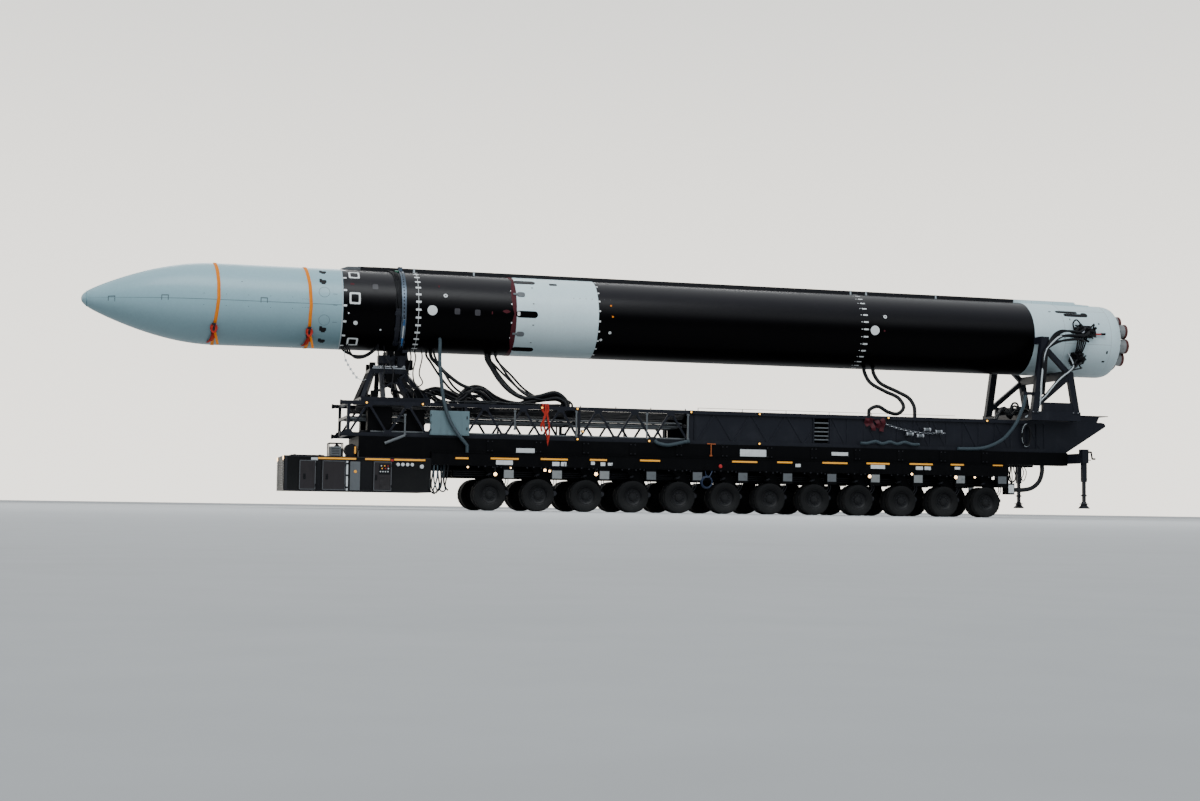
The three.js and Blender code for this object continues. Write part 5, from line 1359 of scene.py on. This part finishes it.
addPiece("umbilicalPlates", plateParts, cableBlack, bevel=0.005)
addPiece("umbilicalPlugs", plugs, cableBlack, bevel=0.003)
addPiece("umbilicalRings", plugRings, panelGrey, bevel=0.002)
addPiece("umbilicalKnots", knots, cableBlack)
addPiece("umbilicalBadge", both([rod(onBody(-12.24, 82, 1.12), onBody(-12.24, 82, 1.15), 0.055, 24)]),
    brightSteel, bevel=0.004)
p, q = onBody(-12.68, 84.5, 1.06), onBody(-12.96, 84.0, 1.08)
addPiece("redPins", both([rod(p, p + 0.55 * (q - p), 0.024, 12)]), redPlastic)
addPiece("redPinTips", both([rod(p + 0.55 * (q - p), q, 0.032, 12)]), cableBlack)
cableStarts = ((-12.10, 76), (-12.20, 80), (-12.30, 77), (-12.14, 84), (-12.26, 87), (-12.40, 82),
    (-12.12, 91), (-12.24, 94))
for k, (x, a) in enumerate(cableStarts):
    first, out = onBody(x, a, 1.02), onBody(x + 0.02, a + 2, 1.22)
    rise = 0.05 * (k % 3)
    addHose(f"umbilicalCable{k + 1}", 0.024 + 0.007 * (k % 2), cableBlack,
        [tuple(first), tuple(out), (x + 0.20, 1.24 + 0.012 * k, 5.02 + rise - 0.03 * k),
        (-11.72 + 0.03 * k, 1.33 + 0.008 * k, 5.06 + rise - 0.045 * k),
        (-11.38 + 0.02 * k, 1.40, 5.05 - 0.05 * k), (-11.12 + 0.012 * k, 1.43, 4.86 - 0.04 * k),
        (-11.0 + 0.015 * k, 1.43, 4.45), (-10.95 + 0.012 * k, 1.42, 3.95), (-10.94, 1.37 - 0.01 * k, 3.55),
        (-10.96 + 0.01 * k, 1.30, 3.32)], sides=8)
for k, (x, a) in enumerate(((-12.12, 118), (-12.26, 122), (-12.14, 128), (-12.3, 130))):
    first, out = onBody(x, a, 1.02), onBody(x, a + 2, 1.2)
    addHose(f"lowerCable{k + 1}", 0.02, cableBlack, [tuple(first), tuple(out),
        (x + 0.12, 1.16, out[2] - 0.05), (-11.74 + 0.02 * k, 1.34, 4.02 - 0.02 * k),
        (-11.42, 1.39, 3.83 - 0.025 * k), (-11.15, 1.395, 3.54 - 0.025 * k),
        (-10.97, 1.38, 3.32 - 0.02 * k), (-10.90, 1.35, 3.20), (-10.86, 1.33, 3.13 - 0.012 * k)], sides=8)
addHose("whiteHoseA", 0.024, hosePale, [(-11.76, 1.0, 4.93), (-11.70, 1.12, 4.935), (-11.55, 1.32, 4.93),
    (-11.341, 1.43, 4.882), (-11.16, 1.44, 4.739), (-10.95, 1.44, 4.514), (-10.858, 1.43, 4.025),
    (-10.827, 1.40, 3.619), (-10.826, 1.37, 3.269), (-10.765, 1.33, 2.944), (-10.586, 1.20, 2.778),
    (-10.54, 1.08, 2.71)], count=40)
addHose("whiteHoseB", 0.018, hosePale, [(-11.93, 0.90, 4.50), (-11.92, 1.05, 4.36), (-11.851, 1.30, 4.114),
    (-11.669, 1.42, 3.972), (-11.397, 1.43, 3.773), (-11.126, 1.43, 3.494), (-10.946, 1.41, 3.273),
    (-10.88, 1.37, 3.20), (-10.84, 1.33, 3.13)])
for k in range(6):
    t = np.linspace(0, 1, 14)
    x = -9.80 - (1.28 - 0.06 * k) * t + 0.05 * np.sin(np.pi * t) * np.sin(11 * t + 2 * k)
    y = 0.44 + 0.09 * k + 0.07 * np.sin(6 * t + k)
    arch = np.sin(np.pi * t) ** 0.5
    loose = (0.24 + 0.06 * (k % 3)) * np.abs(np.sin(np.pi * (1.5 + 0.3 * k) * t)) * arch
    level = 2.645 + 0.02 * k * arch + np.maximum(loose, 0.225 * np.exp(-((x + 10.66) / 0.2) ** 4))
    addHose(f"rearHeap{k + 1}", 0.028, hoseBlack, np.stack([x, y, level], -1), sides=10)
footX = (-10.66, -11.86)
addPiece("rearFootPads", both([block(x, 1.30, 2.81, 2.835, 0.1, 0.11) for x in footX]), frameGrey,
    bevel=0.004)
footNuts = bolts([(x + dx, 1.385, 2.835) for x in footX for dx in (-0.07, 0.07)], (0, 0, 1), 0.02, 0.02)
addPiece("rearFootNuts", both(footNuts), brightSteel)
footLine = [(0.2905, 0), (0.2905, 0.14), (0.30, 0.14), (0.36, 0.085), (0.385, 0.085), (0.39, 0.12),
    (0.405, 0.12), (0.41, 0.075), (0.45, 0.06), (0.45, 0)]
jackX, jackY = -11.88, 1.75
for s, label in ((1, "Left"), (-1, "Right")):
    y = s * jackY
    foot = [turned(footLine, 32, (jackX, y, 0), 2), block(jackX, y, 0.60, 0.64, 0.05, 0.05),
        rod((jackX - 0.09, y, 0.62), (jackX + 0.09, y, 0.62), 0.012)]
    addPiece(f"jackFoot{label}", foot, darkSteel, body=f"jack_leg_{label.lower()}")
    crank = [rod((-11.99, y, 1.78), (-12.10, y, 1.78), 0.024),
        rod((-12.10, y, 1.79), (-12.13, y, 1.60), 0.022), rod((-12.13, y, 1.60), (-12.22, y, 1.60), 0.024)]
    addPiece(f"jackCrank{label}", crank, cableBlack)

# cables at the rear end of the bed and a coil of cable on each side of the clad girder
tailCables = []
for k in range(6):
    x, y = -9.99 - 0.055 * k, 1.0 + 0.02 * (k % 3)
    points = [(x, y, 1.42), (x, y, 1.30), (x - 0.06 * np.sin(2.1 * k), y + 0.03, 1.10 - 0.05 * (k % 3)),
        (-10.08 - 0.01 * k, 1.09, 0.95), (-10.06, 1.08, 0.86)]
    tailCables.append(cable(points, 24, 0.012 + 0.003 * (k % 3)))
for k, x in enumerate((-10.26, -10.34)):
    points = [(x, 1.0, 1.42), (x - 0.04, 1.03, 1.24), (x - 0.13, 1.05, 1.04 - 0.06 * k),
        (x - 0.24, 1.03, 1.22), (x - 0.16, 1.0, 1.42)]
    tailCables.append(cable(points, 24, 0.012))


def coilPart(start, end, count, wide, tall, y, radius, sides):
    # part of an upright ring of cable at the side of the girder
    turn = np.linspace(start, end, count)
    return tube(np.stack([-10.55 + wide * np.cos(turn), y + 0 * turn, 2.22 + tall * np.sin(turn)], -1),
        radius, sides)


coils = [coilPart(0, 2 * np.pi, 33, wide, tall, y, 0.022, 8)
    for wide, tall, y in ((0.105, 0.27, 1.085), (0.125, 0.295, 1.075), (0.115, 0.28, 1.115))]
bands = [coilPart(start, end, 14, 0.135, 0.305, 1.10, 0.008, 6)
    for start, end in ((0.2, 1.7), (2.0, 2.9), (3.3, 5.2), (5.5, 6.1))]
addPiece("tailCables", both(tailCables), cableBlack)
addPiece("sideCoils", both(coils), cableBlack)
addPiece("sideCoilBands", both(bands), hosePale)
addPiece("tailPlates", both([box(-10.14, -9.98, 1.1505, 1.156, 0.66, 0.88)]), plateWhite, bevel=0.002)
addPiece("rearLamps", both([box(-11.985, -11.98, a, a + 0.16, 1.56, 1.66) for a in (0.7, 1.3)]), redPlastic,
    bevel=0.002)
print("rear dressed")

# twin wheels: ribbed tread blocks with grooves, sidewall shoulder, dished rim and nuts
tyre = {"inner": 0.066, "outer": 0.2795, "rim": 0.236, "radius": 0.399, "sides": 72, "flat": 0.42,
    "notch": 0.010, "notchEvery": 3}
wheelNut = {"count": 10, "ring": 0.132, "from": 0.178, "to": 0.208, "radius": 0.014}


def tyreShape(y0, y1):
    # closed profile round the axle, tread face cut by two straight grooves and cross grooves
    rim, radius, around, flat = tyre["rim"], tyre["radius"], tyre["sides"], tyre["flat"]
    mid, half = (y0 + y1) / 2, (y1 - y0) / 2
    side = [(0.80, rim), (0.88, rim + 0.012), (0.97, rim + 0.04), (1.0, rim + 0.08), (0.985, radius - 0.05),
        (0.93, radius - 0.02), (0.84, radius - 0.003)]
    side += [(flat, radius), (0.40, radius - 0.012), (0.30, radius - 0.012), (0.28, radius + 0.001),
        (0.0, radius + 0.001)]
    profile = np.array(side + [(-a, r) for a, r in side[-2::-1]])
    angle = fullTurn(around)
    r = np.repeat(profile[:, 1:], around, 1)
    fade = np.clip((np.abs(profile[:, 0]) - flat) / 0.3, 0, 1)[:, None]
    notched = fade * (profile[:, 1:] > radius - 0.03)
    r = r - tyre["notch"] * notched * (np.arange(around) % tyre["notchEvery"] == 0)
    verts = np.stack([r * np.cos(angle), np.repeat(mid + half * profile[:, :1], around, 1),
        r * np.sin(angle)], -1)
    return verts.reshape(-1, 3), [gridFaces(len(profile), around, True, True)]


def wheelRim(side):
    # dished disc seen from outside, its hub and the inner band
    dish = [(0.10, 0.0), (0.10, 0.228), (0.255, 0.233), (0.262, 0.237), (0.258, 0.228), (0.235, 0.222),
        (0.20, 0.20), (0.185, 0.165), (0.182, 0.10), (0.21, 0.092), (0.215, 0.062), (0.228, 0.055),
        (0.23, 0.0)]
    band = [(0.07, 0), (0.07, 0.2345), (-0.07, 0.2345), (-0.07, 0)]
    inner = [(-0.10, 0.0), (-0.26, 0.228), (-0.262, 0.235), (-0.07, 0.235), (-0.07, 0.0)]
    return [turned([(side * y, r) for y, r in line], sides, axis=1)
        for line, sides in ((dish, 48), (band, 36), (inner, 40))]


def wheelNuts(side):
    # hexagon heads in a ring on the disc
    ring, start, end, radius = (wheelNut[key] for key in ("ring", "from", "to", "radius"))
    around = [(ring * np.cos(a), ring * np.sin(a)) for a in fullTurn(wheelNut["count"])]
    return [rod((x, side * start, level), (x, side * end, level), radius, 6) for x, level in around]


pair = [tyreShape(tyre["inner"], tyre["outer"]), tyreShape(-tyre["outer"], -tyre["inner"])]
for i, x in enumerate(axleX):
    for s, label in ((1, "left"), (-1, "right")):
        place = np.array([x, s * wheelbase["y"], wheelbase["radius"]])
        body, title = f"wheel_{label}_{i + 1}", f"{label.title()}{i + 1}"
        turn = np.radians((i * 37 + 11 * s) % 60)
        spin = np.array([[np.cos(turn), 0, -np.sin(turn)], [0, 1, 0], [np.sin(turn), 0, np.cos(turn)]])
        tyres, rims, nuts = ([(v @ spin + place, f) for v, f in shapes]
            for shapes in (pair, wheelRim(s), wheelNuts(s)))
        addPiece(f"tyre{title}", tyres, tyreBlack, body=body, replaces=(body,), slot="tyre_rubber",
            smooth=32)
        addPiece(f"rim{title}", rims, rimDark, body=body)
        addPiece(f"nuts{title}", nuts, darkSteel, body=body)
print("wheels built")

# studio floor, overcast sky and soft lights
floorMesh = bpy.data.meshes.new("floor")
floorMesh.from_pydata([(-600, -900, 0), (600, -900, 0), (600, 300, 0), (-600, 300, 0)], [], [(0, 1, 2, 3)])
floorMesh.materials.append(finish("floorPale", (0.50, 0.51, 0.52), 0.85, dirt=0.12,
    dirtColor=(0.40, 0.40, 0.40), scale=0.3))
floor = bpy.data.objects.new("floor", floorMesh)
scene.collection.objects.link(floor)
scene.world = bpy.data.worlds.new("overcast")
scene.world.use_nodes = True
sky = scene.world.node_tree
background = next(n for n in sky.nodes if n.type == "BACKGROUND")
direction = sky.nodes.new("ShaderNodeTexCoord").outputs["Generated"]
split = sky.nodes.new("ShaderNodeSeparateXYZ")
sky.links.new(direction, split.inputs[0])
overcast = {"behind": ((2.6, 2.48, 2.25, 1), (1.05, 1.10, 1.12, 1)),
    "facing": ((0.20, 0.235, 0.27, 1), (0.62, 0.70, 0.78, 1)), "rise": (0.0, 0.55), "side": (-0.45, 0.35),
    "strength": 0.9}
height = stepMask(sky, split.outputs[2], *overcast["rise"])
halves = [mixColor(sky, height, *overcast[half]) for half in ("behind", "facing")]
sky.links.new(mixColor(sky, stepMask(sky, split.outputs[1], *overcast["side"]), *halves),
    background.inputs["Color"])
background.inputs["Strength"].default_value = overcast["strength"]


def addLight(name, position, target, size, power, color):
    # rectangular light at the position, turned towards the target
    data = bpy.data.lights.new(name, "AREA")
    data.shape, data.size, data.size_y = "RECTANGLE", size[0], size[1]
    data.energy, data.color = power, color
    back = unit(np.subtract(position, target))
    right = unit(np.cross((0, 0, 1), back))
    aimObject(name, data, right, np.cross(back, right), back, position)


addLight("skyKey", (8, 16, 28), (0, 0, 4), (34, 12), 7000, (0.96, 0.99, 1.0))
addLight("skyFill", (-12, 26, 18), (-2, 0, 4), (26, 10), 1200, (0.93, 0.97, 1.0))
addLight("skyBack", (0, -24, 18), (0, 0, 4), (30, 10), 3000, (1.0, 0.98, 0.95))
